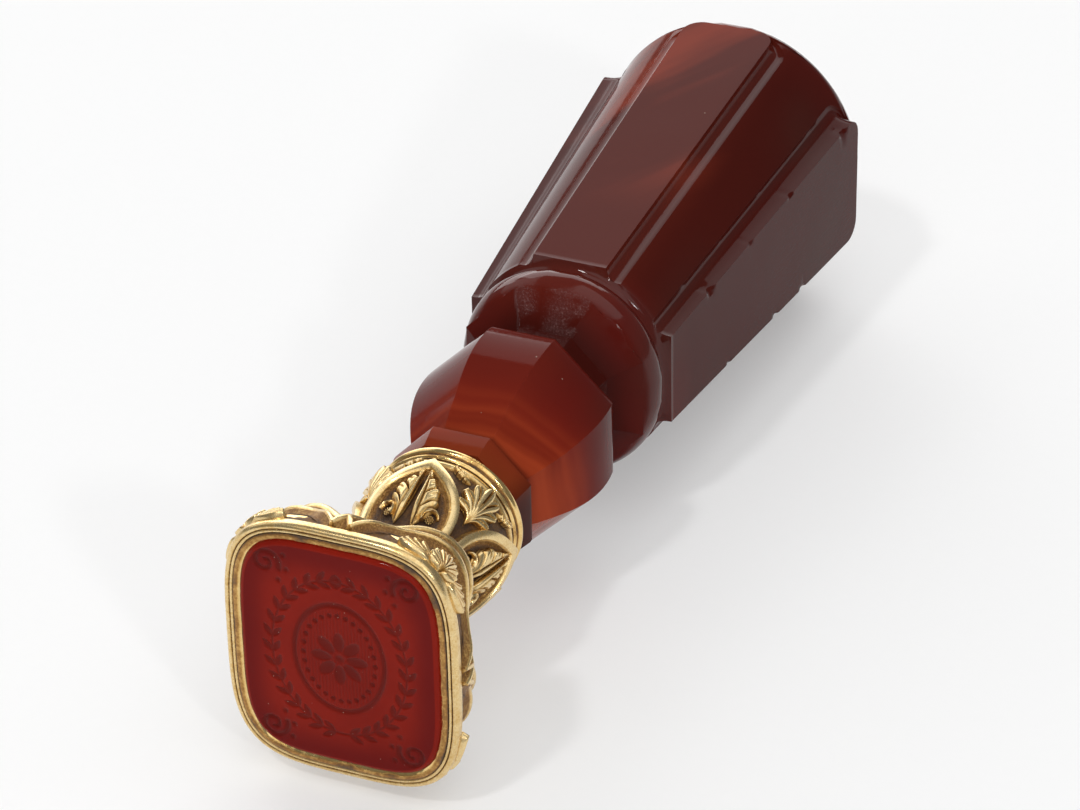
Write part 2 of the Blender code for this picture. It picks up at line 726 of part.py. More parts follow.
def bulb_sections():
    """Gives the bulb: a crowned side that ends in a narrow chamfer, then a slope to the neck."""
    chamfer_length, chamfer_depth = BULB_CHAMFER
    side = interpolate_bezier(
        Vector((UNDERCUT_HALF_WIDTH, BULB_BASE, 0.0)),
        bulb_control(BULB_LOWER_CONTROL, BULB_HALF_WIDTH, BULB_LENGTH),
        bulb_control(BULB_UPPER_CONTROL, BULB_HALF_WIDTH, BULB_LENGTH),
        Vector((
            mix(BULB_END_HALF_WIDTH, BULB_HALF_WIDTH, chamfer_depth),
            BULB_TOP - chamfer_length * BULB_LENGTH,
            0.0,
        )),
        BULB_STEPS + 1,
    )
    rows = []
    for step, (half, height, _) in enumerate(side):
        blend = min(step / BULB_BLEND_STEPS, 1.0)
        face = [mix(even, bulb, blend) for even, bulb in zip(REGULAR_FACE, BULB_FACE)]
        rows.append(handle_octagon(half, height, face))
    rows.append(handle_octagon(BULB_END_HALF_WIDTH, BULB_TOP, BULB_FACE))
    turn_length, turn_depth = BULB_END_TURN
    end_half = mix(BULB_END_HALF_WIDTH, NECK_HALF_WIDTH, turn_depth)
    rows.append(handle_octagon(end_half, BULB_TOP + turn_length * NECK_SLOPE, BULB_FACE))
    return rows


def shoulder_sections():
    """Gives the neck, the shoulder's steep facets, a broad bead, and the hollow under the grip."""
    turn_length, turn_spread = SHOULDER_TURN
    rows = [
        handle_octagon(NECK_HALF_WIDTH, NECK_HEIGHT),
        handle_octagon(SHOULDER_BASE_HALF_WIDTH, SHOULDER_BASE),
        handle_octagon(
            mix(SHOULDER_BASE_HALF_WIDTH, SHOULDER_HALF_WIDTH, turn_spread),
            SHOULDER_BASE + turn_length * SHOULDER_LENGTH,
        ),
        handle_octagon(SHOULDER_HALF_WIDTH, SHOULDER_TOP),
    ]
    for along, rise in BEAD_CROWN:
        half = mix(BEAD_FOOT_HALF_WIDTH, BEAD_HALF_WIDTH, rise)
        rows.append(handle_round(half, SHOULDER_TOP + along * BEAD_LENGTH))
    rows += [handle_round(HOLLOW_HALF_WIDTH, HOLLOW_BASE + share * HOLLOW_LENGTH) for share in HOLLOW_FLAT]
    turn_length, turn_rise = HOLLOW_TURN
    hollow_end = mix(HOLLOW_HALF_WIDTH, GRIP_NEAR_HALF_WIDTH, turn_rise)
    rows.append(handle_round(hollow_end, HOLLOW_BASE + turn_length * HOLLOW_LENGTH))
    return rows


def grip_sections():
    """Gives the grip: a straight taper, rounded panel ends and the dome over the end."""
    rows = [grip_section(0.0)]
    for step in range(PANEL_CORNER_STEPS + 1):
        turn = math.radians(90) * step / PANEL_CORNER_STEPS
        back = PANEL_CORNER_RADIUS * (1 - math.sin(turn)) / GRIP_LENGTH
        rows.append(grip_section(1.0 - back, PANEL_CORNER_RADIUS * (1 - math.cos(turn))))
    for degrees in range(DOME_FIRST_ANGLE, 90, DOME_STEP_ANGLE):
        turn = math.radians(degrees)
        half = GRIP_FAR_HALF_WIDTH * math.cos(turn)
        rows.append(handle_round(half, GRIP_TOP + DOME_HEIGHT * math.sin(turn)))
    rows.append(handle_round(DOME_POLE * GRIP_FAR_HALF_WIDTH, SEAL_LENGTH))
    return rows


def make_handle(collection, cutters, materials, axis):
    """Makes the handle as one loft and drills the blind hole for the pin."""
    sections = flange_sections() + bulb_sections() + shoulder_sections() + grip_sections()
    handle = add_object("handle", loft("handle", sections), collection, materials["BandedAgate"], axis)
    hole_top = HANDLE_BASE + PIN_IN_HANDLE + CLEARANCE
    hole_base = HANDLE_BASE - PIN_RADIUS
    count = ROUND_POINTS // 2
    hole = loft("pin_hole", [
        circle(PIN_RADIUS + CLEARANCE, hole_base, count),
        circle(PIN_RADIUS + CLEARANCE, hole_top, count),
    ])
    cutter = bpy.data.objects.new("pin_hole", hole)
    cutters.objects.link(cutter)
    cutter.parent = axis
    cutter.hide_render = True
    cutter.display_type = "WIRE"
    drill = handle.modifiers.new("pin_hole", "BOOLEAN")
    drill.operation = "DIFFERENCE"
    drill.solver = "EXACT"
    drill.object = cutter


def main():
    """Builds the seal and lays it on its side."""
    remove_everything()
    scene = bpy.context.scene
    seal = bpy.data.collections.new("desk_seal")
    cutters = bpy.data.collections.new("cutters")
    scene.collection.children.link(seal)
    scene.collection.children.link(cutters)
    materials = make_materials()
    axis = bpy.data.objects.new("seal_axis", None)
    seal.objects.link(axis)
    axis.rotation_euler = (-math.pi / 2, 0.0, 0.0)
    axis.location = (0.0, -0.5 * SEAL_LENGTH, REST_HEIGHT)
    make_matrix_stone(seal, materials, axis)
    make_bezel(seal, materials, axis)
    make_back_plate(seal, materials, axis)
    make_foot_shell(seal, cutters, materials, axis)
    make_cup_shell(seal, cutters, materials, axis)
    make_collar_ring(seal, materials, axis)
    make_cap_plate(seal, materials, axis)
    make_fixing_pin(seal, materials, axis)
    make_pitch_core(seal, materials, axis)
    make_handle(seal, cutters, materials, axis)


main()
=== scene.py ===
"""Desk seal, dressed: carved stones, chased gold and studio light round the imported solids.

The seal lies on its side. Its own axis is level along +Y: "along" is the distance from the engraved
face towards the domed end, "across" is +X and "up" is +Z, both counted from that axis. An azimuth is
an angle round the axis, from +X towards +Z. Sizes are in metres.
"""

from __future__ import annotations

import functools
import logging
import math
from dataclasses import dataclass, field
from enum import Enum

import bpy
import numpy as np
from mathutils import Matrix, Vector


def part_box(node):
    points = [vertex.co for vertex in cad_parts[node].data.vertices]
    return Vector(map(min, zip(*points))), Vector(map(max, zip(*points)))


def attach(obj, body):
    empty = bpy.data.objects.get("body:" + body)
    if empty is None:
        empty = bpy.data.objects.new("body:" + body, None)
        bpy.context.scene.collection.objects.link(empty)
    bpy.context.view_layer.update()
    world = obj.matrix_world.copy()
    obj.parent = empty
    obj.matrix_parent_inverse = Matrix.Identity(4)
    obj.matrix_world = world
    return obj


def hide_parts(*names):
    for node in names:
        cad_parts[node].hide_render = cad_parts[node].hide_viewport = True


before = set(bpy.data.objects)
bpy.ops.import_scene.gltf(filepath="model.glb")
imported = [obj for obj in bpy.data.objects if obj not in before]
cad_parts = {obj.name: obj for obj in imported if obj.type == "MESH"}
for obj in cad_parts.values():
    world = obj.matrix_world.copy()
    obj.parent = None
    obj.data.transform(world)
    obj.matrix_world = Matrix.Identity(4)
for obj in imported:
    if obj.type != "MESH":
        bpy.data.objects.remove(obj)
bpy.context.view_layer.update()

MM = 0.001
FULL_TURN = 2 * math.pi
QUARTER_TURN = math.pi / 2
QUARTERS = tuple(quarter * QUARTER_TURN for quarter in range(4))
TINY = 1e-12
LEAST_HALF_COSINE = 0.55
SHARP_DEGREES = 50.0
QUARTZ_IOR = 1.54
LOG = logging.getLogger("desk_seal")

Values = dict[str, np.ndarray]
Pair = tuple[float, float]
Triple = tuple[float, float, float]
Socket = bpy.types.NodeSocket


class Slot(Enum):
    """The record's material slots."""

    CARNELIAN = "carnelian"
    CHASED_GOLD = "chased_gold"
    POLISHED_GOLD = "polished_gold"
    PITCH = "pitch"
    BANDED_AGATE = "banded_agate"


class Side(Enum):
    """The two mirrored hands of an ornament, as the sign of its across direction."""

    LEFT = -1
    RIGHT = 1


def mix(start, end, share):
    """Goes from start to end by a share."""
    return start + (end - start) * share


def smooth(value: np.ndarray, low: float = 0.0, high: float = 1.0) -> np.ndarray:
    """Rises from 0 at low to 1 at high along 3t^2 - 2t^3, and stays level beyond them."""
    share = np.clip((value - low) / (high - low), 0.0, 1.0)
    return share * share * (3 - 2 * share)


def ridge(distance: np.ndarray, width: float) -> np.ndarray:
    """A bell curve: 1 at no distance, exp(-1) at one width."""
    return np.exp(-((distance / width) ** 2))


def ripple(points: np.ndarray, wavelength: float, seed: int) -> np.ndarray:
    """Sum of eight plane sine waves in seeded directions, scaled to about -1 to 1.

    Args:
        points: places in space, with x, y and z along the last axis.
        wavelength: the middle length of the waves.
        seed: picks the directions, lengths and starts of the waves.

    Returns:
        One value for each point.
    """
    draw = np.random.default_rng(seed)
    directions = draw.normal(size=(8, 3))
    directions /= np.linalg.norm(directions, axis=1, keepdims=True)
    lengths = wavelength * draw.uniform(0.7, 1.5, 8)
    starts = draw.uniform(0.0, FULL_TURN, 8)
    waves = np.sin(FULL_TURN * points @ (directions / lengths[:, None]).T + starts)
    return waves.sum(axis=-1) / 4.0


def window(value: np.ndarray, start: float, rise: float, end: float, fall: float) -> np.ndarray:
    """Rises smoothly from 0 at start to 1 a rise later, and from end falls back to 0 over a fall."""
    return smooth(value, start, start + rise) * (1 - smooth(value, end, end + fall))


def bowl(reach: np.ndarray) -> np.ndarray:
    """A round hollow: 1 in its middle and 0 from a reach of 1 outwards, along a quarter circle."""
    return np.sqrt(np.maximum(1 - reach**2, 0.0))


def circle(count: int) -> np.ndarray:
    """Azimuths of points spread evenly once round, the first on +X."""
    return np.linspace(0.0, FULL_TURN, count, endpoint=False)


def hermite(table: np.ndarray, share: np.ndarray, column: int) -> np.ndarray:
    """Reads one column of a table of rows (share, value, ...) along a smooth curve through its rows.

    Between two rows the curve is the cubic that has their values, and at each row the slope of the
    straight line between the rows beside it.
    """
    places, values = table[:, 0], table[:, column]
    before = np.maximum(np.arange(len(places)) - 1, 0)
    after = np.minimum(np.arange(len(places)) + 1, len(places) - 1)
    slopes = (values[after] - values[before]) / (places[after] - places[before])
    row = np.clip(np.searchsorted(places, share, side="left") - 1, 0, len(places) - 2)
    width = places[row + 1] - places[row]
    part = np.clip((share - places[row]) / width, 0.0, 1.0)
    return (
        values[row] * (1 + 2 * part) * (1 - part) ** 2
        + slopes[row] * width * part * (1 - part) ** 2
        + values[row + 1] * part**2 * (3 - 2 * part)
        - slopes[row + 1] * width * part**2 * (1 - part)
    )


def bezier(controls: list[Pair], steps: int) -> np.ndarray:
    """Points of a Bezier curve: each is the sum of its controls weighted by Bernstein's polynomials."""
    share = np.linspace(0.0, 1.0, steps)[:, None]
    degree = len(controls) - 1
    total = np.zeros((steps, 2))
    for index, control in enumerate(controls):
        weight = math.comb(degree, index) * share**index * (1 - share) ** (degree - index)
        total += weight * np.array(control)
    return total


def unit(vectors: np.ndarray) -> np.ndarray:
    """Scales each vector to length one."""
    return vectors / np.maximum(np.linalg.norm(vectors, axis=-1, keepdims=True), TINY)


def nearest(points: np.ndarray, path: np.ndarray) -> np.ndarray:
    """Distance from each point of a grid to the nearest place of a path, one row at a time."""
    rows = [np.linalg.norm(row[:, None, :] - path[None], axis=-1).min(axis=1) for row in points]
    return np.stack(rows)


@dataclass(frozen=True)
class SealAxis:
    """Where the seal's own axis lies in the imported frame."""

    face: float
    rest_height: float

    @classmethod
    def from_frame(cls) -> "SealAxis":
        """Reads the axis from the boxes of the engraved stone and of the handle."""
        stone_low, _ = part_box("matrix_stone")
        handle_low, handle_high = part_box("handle")
        return cls(stone_low.y, (handle_low.z + handle_high.z) / 2)

    def place(self, across: np.ndarray, up: np.ndarray, along: np.ndarray) -> np.ndarray:
        """Turns sizes counted from the seal's axis and face into points of the frame."""
        across, up, along = np.broadcast_arrays(across, up, along)
        return np.stack([across, along + self.face, up + self.rest_height], axis=-1)

    def around(self, radius: np.ndarray, azimuth: np.ndarray, along: np.ndarray) -> np.ndarray:
        """Turns distances from the seal's axis, azimuths and heights into points of the frame."""
        return self.place(radius * np.cos(azimuth), radius * np.sin(azimuth), along)


class MeshMaker:
    """Collects closed surfaces, each worked out on a grid, and makes one mesh of them."""

    def __init__(self, *value_names: str) -> None:
        """Starts empty, with the names of the values that every point carries."""
        self.points: list[np.ndarray] = []
        self.quads: list[np.ndarray] = []
        self.triangles: list[np.ndarray] = []
        self.values: dict[str, list[np.ndarray]] = {name: [] for name in value_names}
        self.count = 0

    def add(self, points: np.ndarray, quads: np.ndarray, triangles: np.ndarray, values: Values) -> None:
        """Adds one closed surface and turns its faces outwards if it encloses a negative volume."""
        halves = [quads[:, [0, 1, 2]], quads[:, [0, 2, 3]], triangles]
        volume = 0.0
        for corners in halves:
            a, b, c = (points[corners[:, k]] - points[0] for k in range(3))
            volume += float(np.einsum("ij,ij->i", np.cross(a, b), c).sum())
        if volume < 0:
            quads, triangles = quads[:, ::-1], triangles[:, ::-1]
        self.points.append(points)
        self.quads.append(quads + self.count)
        self.triangles.append(triangles + self.count)
        for name, store in self.values.items():
            spread = np.broadcast_to(values.get(name, 0.0), (len(points),))
            store.append(spread.astype(np.float32))
        self.count += len(points)

    def add_tube(self, grid: np.ndarray, values: Values, ring: bool = False) -> None:
        """Adds a grid of points whose columns close round it.

        Args:
            grid: points, rows by columns by 3.
            values: the values at those points, rows by columns.
            ring: joins the last row to the first. Otherwise each end gets a fan of triangles.
        """
        rows, columns = grid.shape[:2]
        index = np.arange(rows * columns).reshape(rows, columns)
        lower = index if ring else index[:-1]
        upper = np.roll(index, -1, axis=0) if ring else index[1:]
        corners = [lower, np.roll(lower, -1, 1), np.roll(upper, -1, 1), upper]
        quads = np.stack(corners, -1).reshape(-1, 4)
        points = grid.reshape(-1, 3)
        flat = {}
        for name, value in values.items():
            flat[name] = np.broadcast_to(value, (rows, columns)).ravel()
        triangles = np.zeros((0, 3), int)
        if not ring:
            start, end = rows * columns, rows * columns + 1
            first, last = index[0], index[-1]
            triangles = np.concatenate([
                np.stack([np.full(columns, start), np.roll(first, -1), first], -1),
                np.stack([np.full(columns, end), last, np.roll(last, -1)], -1),
            ])
            points = np.concatenate([points, grid[:1].mean(axis=1), grid[-1:].mean(axis=1)])
            for name, value in flat.items():
                ends = [value[:columns].mean(), value[-columns:].mean()]
                flat[name] = np.concatenate([value, ends])
        self.add(points, quads, triangles, flat)

    def add_plate(self, face: np.ndarray, skirt: np.ndarray, values: Values) -> None:
        """Adds a plate: a square grid for its face, then rows that go round its edge and close behind.

        Args:
            face: points of the face, rows by columns by 3.
            skirt: points of the rows behind the face's border, whose columns follow border_of(face).
            values: the values on the face, rows by columns. The skirt's are nought.
        """
        rows, columns = face.shape[:2]
        index = np.arange(rows * columns).reshape(rows, columns)
        inner = [index[:-1, :-1], index[:-1, 1:], index[1:, 1:], index[1:, :-1]]
        quads = [np.stack(inner, -1).reshape(-1, 4)]
        border = border_of(index)
        skirt_size = skirt.shape[0] * skirt.shape[1]
        skirt_index = rows * columns + np.arange(skirt_size).reshape(skirt.shape[:2])
        loops = [border, *skirt_index]
        for front, back in zip(loops, loops[1:]):
            quads.append(np.stack([np.roll(front, -1), front, back, np.roll(back, -1)], -1))
        centre = rows * columns + skirt_size
        last = loops[-1]
        fan = np.stack([np.full(len(last), centre), np.roll(last, -1), last], -1)
        points = np.concatenate([face.reshape(-1, 3), skirt.reshape(-1, 3), skirt[-1:].mean(axis=1)])
        flat = {}
        for name, value in values.items():
            flat[name] = np.concatenate([value.ravel(), np.zeros(skirt_size + 1)])
        self.add(points, np.concatenate(quads), fan, flat)

    def finish(self, name: str, sharp_degrees: float = 180.0) -> bpy.types.Object:
        """Makes the object, shaded smooth, with creases where faces meet at more than an angle."""
        points = np.concatenate(self.points)
        quads, triangles = np.concatenate(self.quads), np.concatenate(self.triangles)
        corners = np.concatenate([quads.ravel(), triangles.ravel()])
        starts = np.concatenate([
            np.arange(len(quads)) * 4,
            len(quads) * 4 + np.arange(len(triangles)) * 3,
        ])
        mesh = bpy.data.meshes.new(name)
        mesh.vertices.add(len(points))
        mesh.vertices.foreach_set("co", points.astype(np.float32).ravel())
        mesh.loops.add(len(corners))
        mesh.loops.foreach_set("vertex_index", corners.astype(np.int32))
        mesh.polygons.add(len(starts))
        mesh.polygons.foreach_set("loop_start", starts.astype(np.int32))
        mesh.update(calc_edges=True)
        mesh.validate()
        for value_name, parts in self.values.items():
            attribute = mesh.attributes.new(value_name, "FLOAT", "POINT")
            attribute.data.foreach_set("value", np.concatenate(parts))
        mesh.shade_smooth()
        if sharp_degrees < 180.0:
            mesh.set_sharp_from_angle(angle=math.radians(sharp_degrees))
        return add_object(name, mesh)


def border_of(grid: np.ndarray) -> np.ndarray:
    """Walks once round the border of a grid and returns what lies there, each corner once."""
    return np.concatenate([grid[0, :-1], grid[:-1, -1], grid[-1, :0:-1], grid[:0:-1, 0]])


def add_object(name: str, data: bpy.types.ID) -> bpy.types.Object:
    """Makes an object of a mesh, a camera or a lamp and links it to the scene."""
    made = bpy.data.objects.new(name, data)
    bpy.context.scene.collection.objects.link(made)
    return made


def paint(piece: bpy.types.Object, material: bpy.types.Material) -> None:
    """Gives a piece one material in place of any that it has."""
    piece.data.materials.clear()
    piece.data.materials.append(material)


def dress(piece: bpy.types.Object, material: bpy.types.Material, slot: Slot, *nodes: str) -> None:
    """Gives a piece its material, rides it on the root and lets it stand for CAD nodes."""
    paint(piece, material)
    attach(piece, "root")
    if nodes:
        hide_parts(*nodes)
    stands_for = ", ".join(nodes) if nodes else "nothing"
    LOG.info("%s: %d points, stands for %s", piece.name, len(piece.data.vertices), stands_for)


class NodeTree:
    """A thin hand for wiring shader nodes."""

    def __init__(self, tree: bpy.types.NodeTree) -> None:
        """Works on one node tree."""
        self.tree = tree

    def add(self, kind: str, settings: dict | None = None, **inputs: object) -> bpy.types.Node:
        """Adds a node.

        Args:
            kind: Blender's name for the node, without the leading ShaderNode.
            settings: the node's own properties.
            inputs: what its sockets get, by the names that give() takes.

        Returns:
            The new node.
        """
        node = self.tree.nodes.new("ShaderNode" + kind)
        for name, value in (settings or {}).items():
            setattr(node, name, value)
        self.give(node, **inputs)
        return node

    def give(self, node: bpy.types.Node, **inputs: object) -> None:
        """Feeds a node's sockets by name, with _ for a space, or by number, as i0, i1 and so on."""
        for name, value in inputs.items():
            key = name.replace("_", " ")
            numbered = key[0] == "i" and key[1:].isdigit()
            self.feed(node.inputs[int(key[1:]) if numbered else key], value)

    def feed(self, socket: Socket, value: object) -> None:
        """Links a socket to another, or sets its value."""
        if isinstance(value, Socket):
            self.tree.links.new(value, socket)
        elif isinstance(value, tuple) and len(value) == 3 and socket.type == "RGBA":
            socket.default_value = (*value, 1.0)
        else:
            socket.default_value = value

    def maths(self, operation: str, first: object, second: object = 0.0, clamp: bool = False) -> Socket:
        """Adds a Math node and returns its value."""
        settings = {"operation": operation, "use_clamp": clamp}
        return self.add("Math", settings, i0=first, i1=second).outputs[0]

    def times(self, *factors: object) -> Socket:
        """Multiplies values, from first to last."""
        return functools.reduce(functools.partial(self.maths, "MULTIPLY"), factors)

    def plus(self, *terms: object) -> Socket:
        """Adds values up, from first to last."""
        return functools.reduce(functools.partial(self.maths, "ADD"), terms)

    def rest_of(self, value: object) -> Socket:
        """What a value leaves of 1."""
        return self.maths("SUBTRACT", 1.0, value)

    def ramp(self, value: object, stops: list[tuple[float, Triple]]) -> Socket:
        """Adds a colour ramp and returns its colour."""
        node = self.add("ValToRGB", None, Fac=value)
        elements = node.color_ramp.elements
        while len(elements) < len(stops):
            elements.new(0.5)
        for element, (position, colour) in zip(elements, stops):
            element.position = position
            element.color = (*colour, 1.0)
        return node.outputs["Color"]

    def blend(self, share: object, first: object, second: object) -> Socket:
        """Adds a colour Mix node and returns its colour."""
        return self.add("Mix", {"data_type": "RGBA"}, i0=share, i6=first, i7=second).outputs[2]

    def noise(self, where: object, scale: object, detail: float = 4.0, roughness: float = 0.5) -> Socket:
        """Adds a Noise Texture and returns its value. Its scale counts waves in a metre."""
        inputs = {"Vector": where, "Scale": scale, "Detail": detail, "Roughness": roughness}
        return self.add("TexNoise", None, **inputs).outputs[0]

    def cells(self, where: object, scale: object) -> bpy.types.Node:
        """Adds a Voronoi Texture of cells about their nearest points. Its scale is like noise's."""
        return self.add("TexVoronoi", {"feature": "F1"}, Vector=where, Scale=scale)

    def spread(self, value: object, low: float, high: float) -> Socket:
        """Stretches a value so that low becomes 0 and high becomes 1, smoothly and clamped."""
        settings = {"interpolation_type": "SMOOTHSTEP"}
        return self.add("MapRange", settings, i0=value, i1=low, i2=high).outputs[0]

    def bump(self, height: object, strength: float, depth: float, below: Socket | None = None) -> Socket:
        """Adds a Bump node over the normal below it, if there is one, and returns the new normal."""
        inputs = {"Strength": strength, "Distance": depth, "Height": height}
        if below is not None:
            inputs["Normal"] = below
        return self.add("Bump", None, **inputs).outputs[0]

    def attribute(self, name: str) -> Socket:
        """Reads one of the values that the points of a mesh carry."""
        return self.add("Attribute", {"attribute_name": name}).outputs["Fac"]

    def place(self) -> Socket:
        """Reads the shaded point's place in its object."""
        return self.add("TexCoord").outputs["Object"]

    def group(self, tree: bpy.types.NodeTree, **inputs: object) -> Socket:
        """Places a node group with its own values and returns its one output."""
        return self.add("Group", {"node_tree": tree}, **inputs).outputs[0]


class Effects:
    """Shader node groups for the effects that several finishes share. Each is built once."""

    hairline_depth = 0.01 * MM

    def __init__(self) -> None:
        """Builds all groups."""
        self.soil = self.build_soil()
        self.dust = self.build_dust()
        self.hairlines = self.build_hairlines()
        self.polish = self.build_polish()

    @staticmethod
    def start(
        name: str, output: str, **inputs: float | None
    ) -> tuple[NodeTree, bpy.types.NodeOutputs, Socket]:
        """Makes an empty group with one output value.

        Args:
            name: the group's name.
            output: the output's name.
            inputs: each input's starting value, or None for a vector.

        Returns:
            The group's nodes, what it is given by name, and where its result goes.
        """
        tree = bpy.data.node_groups.new(name, "ShaderNodeTree")
        for label, value in inputs.items():
            kind = "NodeSocketVector" if value is None else "NodeSocketFloat"
            socket = tree.interface.new_socket(label, in_out="INPUT", socket_type=kind)
            if value is not None:
                socket.default_value = value
        tree.interface.new_socket(output, in_out="OUTPUT", socket_type="NodeSocketFloat")
        source = tree.nodes.new("NodeGroupInput")
        sink = tree.nodes.new("NodeGroupOutput")
        return NodeTree(tree), source.outputs, sink.inputs[output]

    def build_soil(self) -> bpy.types.NodeTree:
        """Old soil and lacquer: a mask that is full in recesses and breaks into grains at its edge."""
        nodes, given, mask = self.start("soil", "Mask", Where=None, Recess=0.0, Grain=5000.0)
        fine = nodes.noise(given["Where"], given["Grain"], 5.0, 0.65)
        broad = nodes.noise(given["Where"], 900.0, 3.0)
        breakup = nodes.plus(nodes.times(fine, 0.75), nodes.times(broad, 0.45))
        centred = nodes.maths("SUBTRACT", breakup, 0.6)
        nodes.feed(mask, nodes.maths("ADD", given["Recess"], nodes.times(centred, 0.9), clamp=True))
        return nodes.tree

    def build_dust(self) -> bpy.types.NodeTree:
        """Specks: the tips of small scattered cells, as a mask, for dust, and over the engraved stone's
        cuts for painted glints.
        """
        nodes, given, mask = self.start("dust", "Mask", Where=None, Spacing=700.0, Amount=0.5, Size=0.03)
        cells = nodes.cells(given["Where"], given["Spacing"])
        near = nodes.maths("LESS_THAN", cells.outputs["Distance"], given["Size"])
        colour = nodes.add("SeparateColor", None, Color=cells.outputs["Color"])
        chosen = nodes.maths("LESS_THAN", colour.outputs[0], given["Amount"])
        nodes.feed(mask, nodes.times(near, chosen))
        return nodes.tree

    def build_hairlines(self) -> bpy.types.NodeTree:
        """Fine wear: two sets of long thin noise at different slants, as a height."""
        nodes, given, height = self.start("hairlines", "Height", Where=None)
        sets = []
        for turn in (0.5, -0.9):
            slanted = nodes.add("Mapping", None, Vector=given["Where"], Rotation=(0.3, turn, turn),
                                Scale=(9000.0, 350.0, 9000.0))
            sets.append(nodes.spread(nodes.noise(slanted.outputs[0], 1.0, 2.0), 0.55, 0.75))
        nodes.feed(height, nodes.plus(*sets))
        return nodes.tree

    def build_polish(self) -> bpy.types.NodeTree:
        """Hand polish: broad low waves that bend reflections a little, as a height."""
        nodes, given, height = self.start("polish", "Height", Where=None, Scale=120.0)
        nodes.feed(height, nodes.noise(given["Where"], given["Scale"], 1.0, 0.3))
        return nodes.tree

    def wear(self, nodes: NodeTree, where: Socket, strength: float, below: Socket) -> Socket:
        """Lays the hairlines over the normal below them and returns the new normal."""
        return nodes.bump(nodes.group(self.hairlines, Where=where), strength, self.hairline_depth, below)


def shader_of(name: str) -> tuple[bpy.types.Material, NodeTree, bpy.types.Node]:
    """Starts a material and returns it with its nodes and its Principled shader."""
    material = bpy.data.materials.new(name)
    material.use_nodes = True
    nodes = NodeTree(material.node_tree)
    return material, nodes, material.node_tree.nodes["Principled BSDF"]


@dataclass(frozen=True)
class GoldFinish:
    """Chased or polished gold with brown soil in its recesses.

    As the soil's mask rises, four colours follow one another, the metal fades and it gets duller.
    """

    name: str
    worn: Triple
    plain: Triple
    tarnish: Triple
    soil: Triple
    polish: float
    matting: float
    grain: float
    colour_steps: tuple[float, ...] = (0.0, 0.22, 0.52, 0.85)
    metal_fade: Pair = (0.45, 0.95)
    soil_roughness: float = 0.38
    patch_scale: float = 1500.0
    patch_roughness: float = 0.1
    matting_scale: float = 9000.0
    matting_depth: float = 0.08 * MM
    matted_recess: Pair = (0.15, 0.5)
    hairlines: float = 0.12

    def build(self, effects: Effects) -> bpy.types.Material:
        """Makes the material: the attribute "recess" says how deep a point lies in the chasing."""
        material, nodes, shader = shader_of(self.name)
        where = nodes.place()
        recess = nodes.attribute("recess")
        mask = nodes.group(effects.soil, Where=where, Recess=recess, Grain=self.grain)
        colours = (self.worn, self.plain, self.tarnish, self.soil)
        dulled = nodes.times(mask, self.soil_roughness)
        patches = nodes.times(nodes.noise(where, self.patch_scale, 3.0), self.patch_roughness)
        cells = nodes.cells(where, self.matting_scale).outputs["Distance"]
        punched = nodes.times(cells, nodes.spread(recess, *self.matted_recess))
        matted = nodes.bump(punched, self.matting, self.matting_depth)
        nodes.give(
            shader,
            Base_Color=nodes.ramp(mask, list(zip(self.colour_steps, colours))),
            Metallic=nodes.rest_of(nodes.spread(mask, *self.metal_fade)),
            Roughness=nodes.plus(self.polish, dulled, patches),
            Normal=effects.wear(nodes, where, self.hairlines, matted),
        )
        return material


